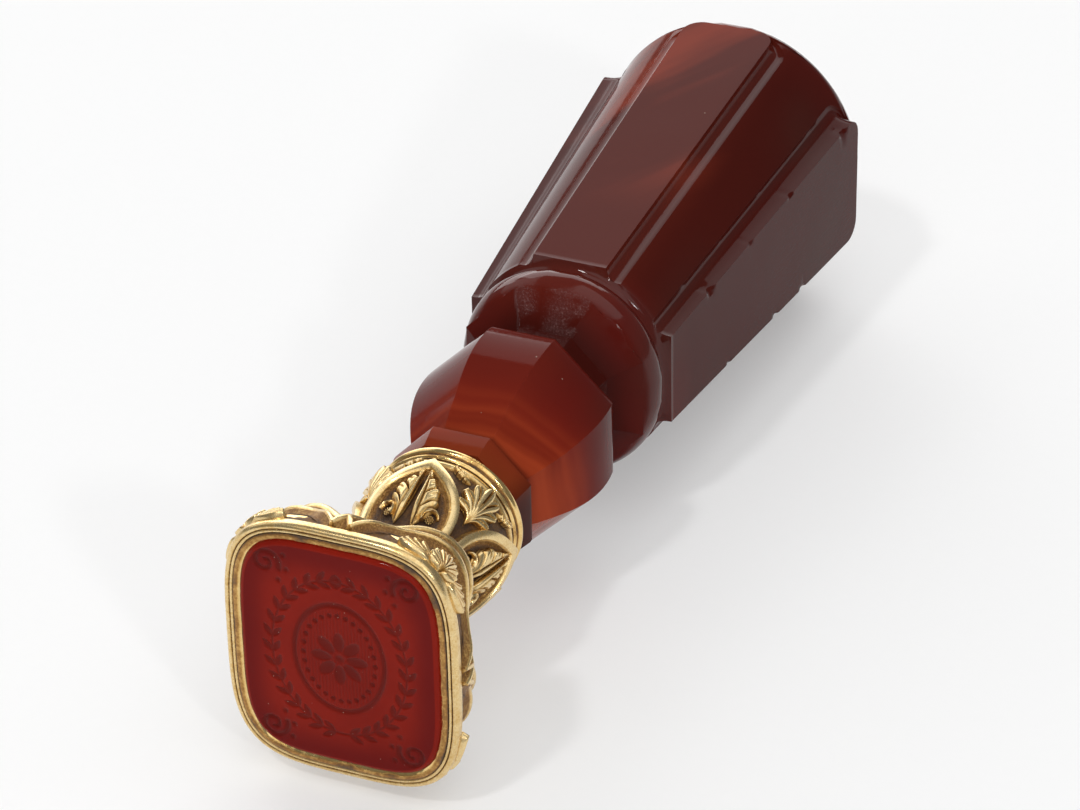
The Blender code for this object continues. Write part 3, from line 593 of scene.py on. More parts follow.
@dataclass(frozen=True)
class AgateFinish:
    """Banded agate: its colour goes with the place along the seal, bent by slanted, wavy bands.

    Four attributes change it: "amber" lays on a painted glow, as of light shining through it,
    "deep" lays on painted shade, "rough" marks where it is frosted, with painted sparkle in its
    pits, and "gloss" where it mirrors more. The paler veils also paint a sheen on the handle's upper
    left, and the smoke patches paint shade on its right-hand side.
    """

    name: str
    centre: Triple
    stops: list[tuple[float, Triple]]
    length: float
    band: Triple = (0.40, 0.058, 0.018)
    pale: Triple = (0.24, 0.034, 0.015)
    smoky_shade: Triple = (0.052, 0.014, 0.010)
    shade: Triple = (0.028, 0.004, 0.0025)
    frost_sparkle: Triple = (0.30, 0.16, 0.15)
    speck: Triple = (0.3, 0.2, 0.16)
    bend_depth: float = 5.0 * MM
    lean_across: float = -0.14
    lean_up: float = 0.1
    band_scale: float = 430.0
    band_rise: Pair = (2.0 * MM, 4.0 * MM)
    band_fall: Pair = (5.5 * MM, 9.5 * MM)
    band_share: float = 0.65
    veil_lean: Pair = (0.54, 0.84)
    veil_scales: Triple = (170.0, 25.0, 60.0)
    veil_rise: Pair = (34.0 * MM, 52.0 * MM)
    veil_share: float = 0.65
    upper_left_sheen: float = 0.14
    smoke_rise: Pair = (6.0 * MM, 9.5 * MM)
    smoke_share: float = 0.6

    def bands(self, nodes: NodeTree, layer: Socket) -> Socket:
        """Share of the soft orange bands low on the bulb, from a noise along the layers only."""
        line = nodes.add("CombineXYZ", None, i0=layer).outputs[0]
        streaks = nodes.spread(nodes.noise(line, self.band_scale, 2.0), 0.36, 0.72)
        ending = nodes.rest_of(nodes.spread(layer, *self.band_fall))
        return nodes.times(streaks, nodes.spread(layer, *self.band_rise), ending, self.band_share)

    def veil_and_sheen(self, nodes: NodeTree, across: Socket, along: Socket, up: Socket) -> Socket:
        """Share of the paler veils far up the grip, drawn out slantwise across it, kept to the handle's
        upper left and laid over an even painted sheen there.
        """
        sine, cosine = self.veil_lean
        over = nodes.maths("SUBTRACT", nodes.times(along, sine), nodes.times(across, cosine))
        down = nodes.plus(nodes.times(along, cosine), nodes.times(across, sine))
        drawn = [nodes.times(value, scale) for value, scale in zip((over, down, up), self.veil_scales)]
        space = nodes.add("CombineXYZ", None, i0=drawn[0], i1=drawn[1], i2=drawn[2]).outputs[0]
        clouds = nodes.spread(nodes.noise(space, 1.0, 3.0), 0.4, 0.62)
        far = nodes.spread(along, *self.veil_rise)
        left = nodes.rest_of(nodes.spread(across, 3.0 * MM, 7.0 * MM))
        upper = nodes.times(nodes.spread(up, 4.0 * MM, 10.0 * MM), left)
        clouds = nodes.times(clouds, far, self.veil_share)
        # painted sheen: an even paler share over the handle's upper left, with the veils on top
        return nodes.times(nodes.plus(self.upper_left_sheen, clouds), upper)

    def colour(self, nodes: NodeTree, local: Socket) -> Socket:
        """The stone's own colour at a place counted from the handle's near end."""
        across, along, up = nodes.add("SeparateXYZ", None, Vector=local).outputs
        waves = nodes.maths("SUBTRACT", nodes.noise(local, 60.0, 3.0), 0.5)
        slant = nodes.plus(nodes.times(across, self.lean_across), nodes.times(up, self.lean_up))
        layer = nodes.plus(along, nodes.times(waves, self.bend_depth), slant)
        colour = nodes.ramp(nodes.maths("DIVIDE", layer, self.length), self.stops)
        colour = nodes.blend(self.bands(nodes, layer), colour, self.band)
        # painted glow: the bands' orange laid where light seems to shine through the bulb
        colour = nodes.blend(nodes.attribute("painted_glow"), colour, self.band)
        # paler veils with a painted sheen on the handle's upper left
        colour = nodes.blend(self.veil_and_sheen(nodes, across, along, up), colour, self.pale)
        # smoke patches, kept to the right-hand side, where they also paint that side's shade
        smoke = nodes.spread(nodes.noise(local, 45.0, 2.0), 0.42, 0.62)
        smoke = nodes.times(smoke, nodes.spread(across, *self.smoke_rise), self.smoke_share)
        colour = nodes.blend(smoke, colour, self.smoky_shade)
        # painted shade on the neck, the groove under the bulb and the flange's lower right
        return nodes.blend(nodes.attribute("deep"), colour, self.shade)

    def build(self, effects: Effects) -> bpy.types.Material:
        """Makes the material. A Mapping node centres the pattern on the handle's near end."""
        material, nodes, shader = shader_of(self.name)
        where = nodes.place()
        back = tuple(-value for value in self.centre)
        local = nodes.add("Mapping", None, Vector=where, Location=back).outputs[0]
        rough = nodes.attribute("rough")
        pits = nodes.noise(where, 5200.0, 3.0, 0.7)
        # frosted patches, whose pale pits are partly painted sparkle
        frosted = nodes.times(nodes.spread(pits, 0.5, 0.7), nodes.times(rough, 0.45))
        colour = nodes.blend(frosted, self.colour(nodes, local), self.frost_sparkle)
        specks = nodes.group(effects.dust, Where=where, Spacing=420.0, Amount=0.2)
        waves = nodes.bump(nodes.group(effects.polish, Where=where, Scale=140.0), 0.35, 0.1 * MM)
        wear = effects.wear(nodes, where, 0.12, waves)
        nodes.give(
            shader,
            Base_Color=nodes.blend(specks, colour, self.speck),
            IOR=QUARTZ_IOR,
            Specular_IOR_Level=nodes.plus(0.04, nodes.times(nodes.attribute("gloss"), 0.2)),
            Roughness=nodes.plus(0.05, nodes.times(rough, 0.3)),
            Normal=nodes.bump(nodes.times(pits, rough), 0.9, 0.12 * MM, wear),
        )
        return material


@dataclass(frozen=True)
class CarnelianFinish:
    """Polished deep red stone. Its edge is darker, as painted shade; where it is cut it is duller, darker
    as painted shade, and dotted with painted specks of light.
    """

    name: str
    body: Triple
    cloud: Triple
    cut: Triple
    border: Triple
    speck: Triple = (0.5, 0.36, 0.3)
    mirror: float = 0.06
    edge_shade_share: float = 0.75
    cut_shade_share: float = 0.6
    cut_roughness: float = 0.22

    def build(self, effects: Effects) -> bpy.types.Material:
        """Makes the material.

        The attribute "cut" is 1 where the stone is engraved, and "border" rises to 1 at its edge; both
        lay painted shade on the stone.
        """
        material, nodes, shader = shader_of(self.name)
        where = nodes.place()
        cut = nodes.attribute("cut")
        clouds = nodes.spread(nodes.noise(where, 130.0, 3.0), 0.4, 0.7)
        stone = nodes.blend(clouds, self.body, self.cloud)
        # painted shade: the stone darkens towards its edge, where the bezel shades it
        darker = nodes.times(nodes.attribute("border"), self.edge_shade_share)
        stone = nodes.blend(darker, stone, self.border)
        # painted shade: the cuts are darkened more where they are deeper
        stone = nodes.blend(nodes.times(cut, self.cut_shade_share), stone, self.cut)
        # painted glints: pale specks scattered over the cuts, as sparkles of light; the other specks are
        # dust
        glints = nodes.group(effects.dust, Where=where, Spacing=2600.0, Amount=0.3, Size=0.09)
        specks = nodes.group(effects.dust, Where=where, Spacing=1500.0, Amount=0.08, Size=0.05)
        specks = nodes.maths("ADD", specks, nodes.times(glints, cut), clamp=True)
        tooled = nodes.bump(nodes.times(nodes.noise(where, 6000.0, 3.0, 0.6), cut), 0.5, 0.03 * MM)
        nodes.give(
            shader,
            Base_Color=nodes.blend(specks, stone, self.speck),
            IOR=QUARTZ_IOR,
            Specular_IOR_Level=self.mirror,
            Roughness=nodes.plus(0.06, nodes.times(cut, self.cut_roughness)),
            Normal=effects.wear(nodes, where, 0.1, tooled),
        )
        return material


@dataclass(frozen=True)
class PitchFinish:
    """Dull black-brown filling with a broken, grainy surface."""

    name: str
    colour: Triple
    dust: Triple = (0.09, 0.06, 0.045)
    roughness: float = 0.75

    def build(self) -> bpy.types.Material:
        """Makes the material."""
        material, nodes, shader = shader_of(self.name)
        grain = nodes.noise(nodes.place(), 1800.0, 5.0, 0.6)
        nodes.give(
            shader,
            Base_Color=nodes.blend(grain, self.colour, self.dust),
            Roughness=self.roughness,
            Normal=nodes.bump(grain, 0.5, 0.1 * MM),
        )
        return material


class RadialSurface:
    """A surface round the seal's axis, given by its distance from the axis."""

    axis: SealAxis
    ground_depth: float
    slope_turn = 0.01
    slope_step = 0.08 * MM

    def radius(self, azimuth: np.ndarray, along: np.ndarray) -> np.ndarray:
        """Distance from the axis in a direction at a height."""
        raise NotImplementedError

    def point(self, azimuth: np.ndarray, along: np.ndarray, lift: np.ndarray | float = 0.0) -> np.ndarray:
        """Gives points of the surface, moved out along its own normal by a lift.

        The normal is the outward unit vector across the two slopes of the surface: round the axis
        and along it, each taken between two points a little apart.
        """
        here = self.raw(azimuth, along)
        return here + self.normal(azimuth, along) * np.asarray(lift)[..., None]

    def raw(self, azimuth: np.ndarray, along: np.ndarray) -> np.ndarray:
        """Points of the bare surface: the radius laid off in the azimuth's direction."""
        return self.axis.around(self.radius(azimuth, along), azimuth, along)

    def normal(self, azimuth: np.ndarray, along: np.ndarray) -> np.ndarray:
        """Outward unit normals of the bare surface."""
        turn, step = self.slope_turn, self.slope_step
        round_slope = self.raw(azimuth + turn, along) - self.raw(azimuth - turn, along)
        along_slope = self.raw(azimuth, along + step) - self.raw(azimuth, along - step)
        return unit(np.cross(along_slope, round_slope))

    def grow(self, maker: MeshMaker, centre: float, reach: float, *leaves: Leaf) -> None:
        """Grows leaves about a centre azimuth, each with its mirror image unless its tip is on it."""
        for leaf in leaves:
            for side in Side if leaf.tip[0] else (Side.RIGHT,):
                leaf.grow(maker, self, centre, reach, side)

    def hollows(self, azimuth: np.ndarray, along: np.ndarray, centres: tuple[float, ...], reach: float,
                middle: Pair, size: Pair) -> np.ndarray:
        """Bell-shaped hollows, two beside each centre azimuth, as a share of their depth.

        Args:
            azimuth: the azimuths of a grid.
            along: its heights.
            centres: the azimuths that the hollows lie in pairs about.
            reach: the distance from the axis at which sizes round it are measured.
            middle: how far round from its centre and how far along a hollow lies.
            size: the hollow's widths, round the axis and along it.

        Returns:
            The sum of all hollows at each point.
        """
        total = np.zeros(azimuth.shape)
        for centre in centres:
            beside = (azimuth - centre + math.pi) % FULL_TURN - math.pi
            for side in Side:
                across = (beside * reach - side.value * middle[0]) / size[0]
                total += ridge(np.hypot(across, (along - middle[1]) / size[1]), 1.0)
        return total


@dataclass
class StoneOutline:
    """The engraved stone's outline, a superellipse that can be moved outwards."""

    half_width: float = 8.85 * MM
    half_height: float = 10.55 * MM
    exponent: float = 4.2

    def exponent_at(self, offset: float) -> float:
        """Exponent with which the outline keeps its corners' distance when it is moved outwards."""
        corner = math.hypot(self.half_width, self.half_height) * 2 ** (-1 / self.exponent)
        diagonal = math.hypot(self.half_width + offset, self.half_height + offset)
        return -math.log(2) / math.log((corner + offset) / diagonal)

    def radius(self, azimuth: np.ndarray, offset: float = 0.0) -> np.ndarray:
        """Distance from the middle: (|cos/a|^e + |sin/b|^e)^(-1/e)."""
        power = self.exponent_at(offset)
        across = np.abs(np.cos(azimuth)) / (self.half_width + offset)
        up = np.abs(np.sin(azimuth)) / (self.half_height + offset)
        return (across**power + up**power) ** (-1 / power)

    def ring(self, axis: SealAxis, azimuth: np.ndarray, offset: float, along: float) -> np.ndarray:
        """Points of the outline, moved outwards, at a height along the seal."""
        return axis.around(self.radius(azimuth, offset), azimuth, along)


def sweep(
    maker: MeshMaker,
    centres: np.ndarray,
    normals: np.ndarray,
    profile: np.ndarray,
    taper: np.ndarray,
    recess: np.ndarray,
) -> None:
    """Adds a band: a closed profile carried along a path that lies on a surface.

    At each place of the path the profile's first size goes sideways, square to the path and to the
    surface's normal, and its second size goes out along the normal. Where the path turns, the side
    vector is lengthened by one over the cosine of half the turn, so that the band keeps its width.

    Args:
        maker: collects the surface.
        centres: the path's points.
        normals: the surface's unit normals at them.
        profile: points of the closed profile, sideways and outwards.
        taper: share of the profile's size at each point of the path.
        recess: the value "recess" at each point of the profile.
    """
    steps = unit(np.diff(centres, axis=0))
    before = np.concatenate([steps[:1], steps])
    after = np.concatenate([steps, steps[-1:]])
    side = unit(np.cross(before, normals)) + unit(np.cross(after, normals))
    half_cosine = np.linalg.norm(side, axis=1, keepdims=True) / 2
    side = unit(side) / np.maximum(half_cosine, LEAST_HALF_COSINE)
    size = taper[:, None, None]
    sideways = profile[None, :, :1] * size * side[:, None, :]
    outwards = profile[None, :, 1:] * size * normals[:, None, :]
    grid = centres[:, None, :] + sideways + outwards
    maker.add_tube(grid, {"recess": np.broadcast_to(recess, grid.shape[:2])})


@dataclass(frozen=True)
class StrapShape:
    """Cross-section of a chased strap: a steep outer side, a narrow ridge and a hollow inner side.

    Across the strap, v runs from -1 at the foot of its outer side to 1 at the end of the hollow.
    """

    half_width: float
    height: float
    bevel: float = 0.16
    ridge_share: float = 0.42
    root: float = 0.35 * MM

    def profile(self) -> tuple[np.ndarray, np.ndarray]:
        """Works out the closed profile and its recess values.

        The outer side rises smoothly to the ridge, the ridge is slightly crowned, and the inner side
        falls as (1 - w)^2.1, where w goes from 0 at the ridge to 1 at the end of the hollow.
        """
        edge, ridge_end = -1 + self.bevel, -1 + self.bevel + self.ridge_share
        v = np.concatenate([
            np.linspace(-1.0, edge, 5),
            np.linspace(edge, ridge_end, 8)[1:],
            mix(ridge_end, 1.0, np.linspace(0.0, 1.0, 14)[1:]),
        ])
        rise = smooth(v, -1.0, edge) ** 0.8
        off_ridge = (v - (edge + ridge_end) / 2) / (self.ridge_share / 2)
        crown = 0.05 * np.clip(1 - off_ridge**2, 0.0, 1.0)
        w = np.clip((v - ridge_end) / (1 - ridge_end), 0.0, 1.0)
        lift = self.height * (rise * (1 - w) ** 2.1 * 0.95 + crown)
        recess = 0.55 * (1 - smooth(v, -1.0, edge)) + 0.5 * smooth(w, 0.03, 0.16)
        recess = recess + 0.18 * smooth(w, 0.4, 1.0)
        top = np.stack([v * self.half_width, lift], axis=-1)
        under = np.array([[self.half_width, -self.root], [-self.half_width, -self.root]])
        return np.concatenate([top, under]), np.concatenate([recess, [1.0, 1.0]])


@dataclass(frozen=True)
class Leaf:
    """One chased acanthus leaf, drawn on a surface unrolled about a centre azimuth.

    Places are (across, along) pairs, in metres: across is counted round the surface from the centre
    azimuth, and along from the engraved face. The inner shares scale the width and the lobes on one
    side of the midrib, the saw narrows each lobe towards its tip, and the foot is how deep the leaf
    reaches into the ground. Widths with no unit are shares of a lobe or of the leaf's half width.
    """

    base: Pair
    bend: Pair
    tip: Pair
    half_width: float
    lobes: int = 0
    notch: float = 0.3
    slant: float = 0.9
    thickness: float = 0.5 * MM
    inner_share: float = 1.0
    inner_lobed: float = 1.0
    widest: float = 0.42
    fullness: float = 0.75
    saw: float = 0.07
    arching: float = 1.9
    notch_width: float = 0.08
    slit_width: float = 0.055
    slit_depth: float = 0.95
    line_width: float = 0.07
    line_depth: float = 0.14
    midrib_width: float = 0.09
    midrib_depth: float = 0.35
    rows: int = 46
    columns: int = 17
    foot: float = 0.3 * MM

    def grow(self, maker: MeshMaker, surface: RadialSurface, azimuth: float, reach: float,
             side: Side) -> None:
        """Adds the leaf to a mesh.

        Along the midrib, a quadratic curve, the half width follows a^p (1 - a)^q, widest at a named
        share. Lobes are parted by narrow notches in that width, where phase, the place along the
        leaf counted in lobes, is whole, and by slits that run from each notch towards the midrib.
        b goes from -1 to 1 across the leaf. Points are swept forwards by slant times the half width
        times sin(arching |b|), so that slits and lobes arch towards the tip. The height is
        (1 - |b|^8)^0.5 across the leaf, less the slits, a fine line in the middle of each lobe and
        the midrib's groove.

        Args:
            maker: collects the surface.
            surface: what the leaf lies on.
            azimuth: the centre azimuth that the leaf's places are counted from.
            reach: the distance from the axis at which across is measured.
            side: mirrors the leaf about its centre azimuth.
        """
        ground = surface.ground_depth
        share = np.linspace(0.0, 1.0, self.rows)
        spine = bezier([self.base, self.bend, self.tip], self.rows)
        heading = unit(np.gradient(spine, axis=0))
        sideways = np.stack([-heading[:, 1], heading[:, 0]], axis=-1)
        opening = self.fullness * self.widest / (1 - self.widest)
        body = share**opening * (1 - share) ** self.fullness
        body = 0.03 + 0.97 * body / body.max()
        b = np.sin(np.linspace(-QUARTER_TURN, QUARTER_TURN, self.columns))
        inside = b > 0
        lobed = np.where(inside, self.inner_lobed, 1.0)[None, :]
        phase = share * max(self.lobes, 1)
        gap = np.abs(phase - np.round(phase))[:, None]
        real = ((phase > 0.4) & (phase < self.lobes - 0.3))[:, None] * lobed
        cut = self.notch * ridge(gap, self.notch_width)
        cut = cut + self.saw * (1 - (phase % 1.0))[:, None] * (self.lobes > 0)
        arm = np.where(inside, self.inner_share, 1.0)
        width = self.half_width * body[:, None] * (1 - cut * real)
        out = b * arm * width
        forward = self.slant * arm * width * np.sin(self.arching * np.abs(b))
        flat = (
            spine[:, None, :]
            + sideways[:, None, :] * out[..., None]
            + heading[:, None, :] * (forward * (1 - 0.6 * share[:, None]))[..., None]
        )
        dome = np.sqrt(np.maximum(1 - np.abs(b) ** 8, 0.0))[None, :]
        rise = smooth(share, -0.15, 0.3) * (0.85 + 0.3 * share) * (1 - 0.6 * smooth(share, 0.9, 1.0))
        middle = np.abs((phase % 1.0) - 0.52)[:, None]
        slit = real * ridge(gap, self.slit_width * (1 + np.abs(b)))
        slit = slit * smooth(np.abs(b), 0.12, 0.35)[None, :]
        line = real * ridge(middle, self.line_width) * smooth(np.abs(b), 0.4, 0.6)[None, :]
        midrib = ridge(b, self.midrib_width)[None, :] * smooth(1 - share, 0.02, 0.2)[:, None]
        swell = 0.1 * real * np.sin(math.pi * (phase % 1.0))[:, None]
        swell = 1 + swell * smooth(np.abs(b), 0.3, 0.9)[None, :]
        carved = self.slit_depth * slit + self.line_depth * line + self.midrib_depth * midrib
        height = dome * swell * (1 - carved)
        lift = self.thickness * rise[:, None] * height - ground
        recess = 1.4 * slit + 0.4 * line + 0.75 * midrib + 0.9 * smooth(1 - dome, 0.55, 0.95)
        recess = np.clip(recess + 0.3 * (1 - smooth(share, 0.0, 0.25))[:, None], 0.0, 1.0)
        under = flat[:, ::-1][:, 2:-2:4]
        flat = np.concatenate([flat, under], axis=1)
        sunk = np.full((self.rows, under.shape[1]), -ground - self.foot)
        lift = np.concatenate([lift, sunk], axis=1)
        recess = np.concatenate([recess, np.ones_like(sunk)], axis=1)
        turn = azimuth + side.value * flat[..., 0] / reach
        maker.add_tube(surface.point(turn, flat[..., 1], lift), {"recess": recess})


@dataclass
class Cup(RadialSurface):
    """The chased cup: four pointed strap arches, each holding two leaves, and sprays between them."""

    axis: SealAxis
    base: float = 11.05 * MM
    height: float = 10.1 * MM
    waist_radius: float = 5.0 * MM
    belly_radius: float = 6.7 * MM
    mouth_radius: float = 6.3 * MM
    wall: float = 0.9 * MM
    arch_half_angle: float = math.radians(34)
    arch_start: float = 0.9 * MM
    arch_top_margin: float = 2.2 * MM
    eye: Pair = (2.35 * MM, 14.1 * MM)
    eye_size: Pair = (0.5 * MM, 0.7 * MM)
    curl_radius: float = 0.8 * MM
    curl_thickness: float = 0.17 * MM
    pearl_radius: float = 0.08 * MM
    pearl_rings: tuple[tuple[float, int], ...] = ((0.0, 1), (0.19 * MM, 6), (0.38 * MM, 11))
    blade_root: float = 15.7 * MM
    blades: tuple[Triple, ...] = (
        (0.95, 2.5, 0.42),
        (0.62, 3.4, 0.52),
        (0.31, 4.1, 0.56),
        (0.0, 4.6, 0.58),
    )
    strap: StrapShape = StrapShape(0.95 * MM, 1.05 * MM, bevel=0.2, ridge_share=0.8)
    ground_depth: float = 0.42 * MM
    ground_slope: Pair = (0.3 * MM, 1.3 * MM)
    inner_depth: float = 1.25
    grain_depth: float = 0.03 * MM
    grain_size: float = 0.9 * MM
    soil_gap: float = 0.62 * MM
    soil_width: float = 0.22 * MM
    eye_depth: float = 0.2 * MM
    columns: int = 420
    rows: int = 90
    swell: tuple[Pair, ...] = ((0.0, 0.0), (0.2, 0.35), (0.4, 0.63), (0.6, 0.86), (0.8, 1.0))

    def radius(self, azimuth: np.ndarray, along: np.ndarray) -> np.ndarray:
        """Swells along a smooth table from waist to belly, then closes by a square law to the mouth."""
        share = np.clip((along - self.base) / self.height, 0.0, 1.0)
        belly = self.swell[-1][0]
        swell = mix(self.waist_radius, self.belly_radius, hermite(np.array(self.swell), share, 1))
        closing = np.clip((share - belly) / (1 - belly), 0.0, 1.0)
        radius = np.where(share <= belly, swell, mix(self.belly_radius, self.mouth_radius, closing**2))
        return radius + np.zeros_like(np.asarray(azimuth, float))

    def arch(self) -> np.ndarray:
        """Half of a pointed arch as (angle from its middle, along), from its foot up to its point."""
        top = self.base + self.height - self.arch_top_margin
        bottom = self.base + self.arch_start
        half = self.arch_half_angle
        return bezier([
            (half, bottom),
            (half * 1.12, mix(bottom, top, 0.62)),
            (half * 0.47, mix(bottom, top, 0.8)),
            (0.0, top),
        ], 36)

    def arch_path(self, centre: float) -> tuple[np.ndarray, np.ndarray]:
        """Azimuths and heights of one whole arch."""
        half = self.arch()
        turn = np.concatenate([centre + half[:, 0], centre - half[-2::-1, 0]])
        return turn, np.concatenate([half[:, 1], half[-2::-1, 1]])

    def build(self, material: bpy.types.Material) -> None:
        """Makes the shell with its straps, then the leaves."""
        shell = MeshMaker("recess")
        self.add_shell(shell)
        profile, recess = self.strap.profile()
        for centre in QUARTERS:
            turn, along = self.arch_path(centre)
            taper = 0.8 + 0.2 * np.sin(np.linspace(0, math.pi, len(turn))) ** 0.5
            centres = self.point(turn, along, -self.ground_depth)
            sweep(shell, centres, self.normal(turn, along), profile, taper, recess)
        dress(shell.finish("cup_shell_chased", SHARP_DEGREES), material, Slot.CHASED_GOLD, "cup_shell")
        leaves = MeshMaker("recess")
        for centre in QUARTERS:
            self.add_arch_leaves(leaves, centre)
            self.add_spandrel_leaves(leaves, centre + QUARTER_TURN / 2)
        dress(leaves.finish("cup_leaves", SHARP_DEGREES), material, Slot.CHASED_GOLD)

    def add_shell(self, maker: MeshMaker) -> None:
        """Adds the cup's wall: its ground is sunk between the straps and deepest inside the arches."""
        along = (self.base + self.height * np.linspace(0.0, 1.0, self.rows))[:, None]
        turn, along = np.broadcast_arrays(circle(self.columns)[None, :], along)
        bare = self.raw(turn, along)
        arches = [self.raw(*self.arch_path(centre)) for centre in QUARTERS]
        distance = nearest(bare, np.concatenate(arches))
        half = self.arch()
        reach = np.interp(along, half[:, 1], half[:, 0], right=0.0)
        offset = np.abs((turn + QUARTER_TURN / 2) % QUARTER_TURN - QUARTER_TURN / 2)
        inside = (offset < reach) & (along < half[-1, 1])
        share = (along - self.base) / self.height
        border = smooth(share, 0.0, 0.06) * smooth(1 - share, 0.03, 0.08)
        sunk = smooth(distance, *self.ground_slope) * border
        holes = self.hollows(turn, along, QUARTERS, self.belly_radius, self.eye, self.eye_size)
        lift = -self.ground_depth * np.where(inside, self.inner_depth, 1.0) * sunk
        lift = lift + self.grain_depth * ripple(bare, self.grain_size, 5) * border
        lift = lift - self.eye_depth * holes
        recess = np.where(inside, 0.5 + 0.28 * sunk, 0.58 + 0.2 * sunk) * border
        soiled = ridge(distance - self.soil_gap, self.soil_width)
        recess = recess + 0.25 * soiled * border + 0.5 * holes
        back_turn, back_along = turn[::-6], along[::-6]
        core = self.axis.around(self.radius(back_turn, back_along) - self.wall, back_turn, back_along)
        values = np.concatenate([np.clip(recess, 0.0, 1.0), np.ones(core.shape[:2])])
        grid = np.concatenate([self.point(turn, along, lift), core])
        maker.add_tube(grid, {"recess": values}, ring=True)

    def add_arch_leaves(self, maker: MeshMaker, centre: float) -> None:
        """Adds the two tall leaves of an arch, each with a curl round a pearled eye at its foot."""
        tall = Leaf((1.0 * MM, 12.7 * MM), (0.8 * MM, 15.9 * MM), (0.14 * MM, 19.1 * MM), 1.75 * MM,
                    lobes=4, notch=0.3, slant=1.1, thickness=0.78 * MM, inner_share=0.28,
                    inner_lobed=0.0, widest=0.24, fullness=1.7, saw=0.2, rows=130, columns=31)
        for side in Side:
            tall.grow(maker, self, centre, self.belly_radius, side)
            self.add_eye(maker, centre, side)

    def add_eye(self, maker: MeshMaker, centre: float, side: Side) -> None:
        """Adds a curl, over half of a ring that thins towards its end, and the pearls inside it."""
        turns = np.linspace(math.radians(-40), math.radians(170), 26)
        across = self.eye[0] - self.curl_radius * np.cos(turns)
        along = self.eye[1] + self.curl_radius * np.sin(turns)
        azimuth = centre + side.value * across / self.belly_radius
        centres = self.point(azimuth, along, -self.ground_depth + 0.08 * MM)
        thick = self.curl_thickness * mix(1.2, 0.8, np.linspace(0, 1, len(turns)))
        around = circle(8)
        profile = np.stack([np.cos(around), np.sin(around) * 2.2 + 0.8], axis=-1)
        recess = smooth(-np.sin(around), -0.3, 0.5)
        sweep(maker, centres, self.normal(azimuth, along), profile, thick, recess)
        for ring, count in self.pearl_rings:
            for spin in circle(count):
                beside = self.eye[0] + ring * math.cos(spin)
                azimuth = centre + side.value * beside / self.belly_radius
                self.add_pearl(maker, azimuth, self.eye[1] + ring * math.sin(spin))

    def add_pearl(self, maker: MeshMaker, azimuth: float, along: float) -> None:
        """Adds a small ball on the ground: latitude rows of a sphere, closed at its poles."""
        lift = np.array([-0.95 * self.ground_depth])
        middle = self.point(np.array([azimuth]), np.array([along]), lift)[0]
        latitude = np.linspace(-1.35, 1.35, 5)[:, None]
        longitude = circle(8)[None, :]
        ball = np.stack([
            np.cos(latitude) * np.cos(longitude),
            np.cos(latitude) * np.sin(longitude),
            np.sin(latitude) + 0 * longitude,
        ], axis=-1)
        maker.add_tube(middle + self.pearl_radius * ball, {"recess": np.full(ball.shape[:2], 0.12)})

    def add_spandrel_leaves(self, maker: MeshMaker, centre: float) -> None:
        """Adds a broad leaf of seven blades between two arches, and a small sprig on each side of it."""
        leaves = []
        for spread, length, width in self.blades:
            sine, cosine = length * MM * math.sin(spread), length * MM * math.cos(spread)
            leaves.append(Leaf(
                (0.0, self.blade_root),
                (0.1 * sine, self.blade_root + 0.72 * length * MM),
                (sine, self.blade_root + cosine),
                width * MM,
                thickness=(0.95 - 0.35 * spread) * MM,
                widest=0.6,
                fullness=0.8,
            ))
        sprig = Leaf((1.7 * MM, 19.9 * MM), (2.4 * MM, 19.6 * MM), (3.9 * MM, 20.75 * MM), 0.42 * MM,
                     lobes=3, notch=0.25, thickness=0.6 * MM, rows=56)
        self.grow(maker, centre, self.belly_radius, *leaves, sprig)


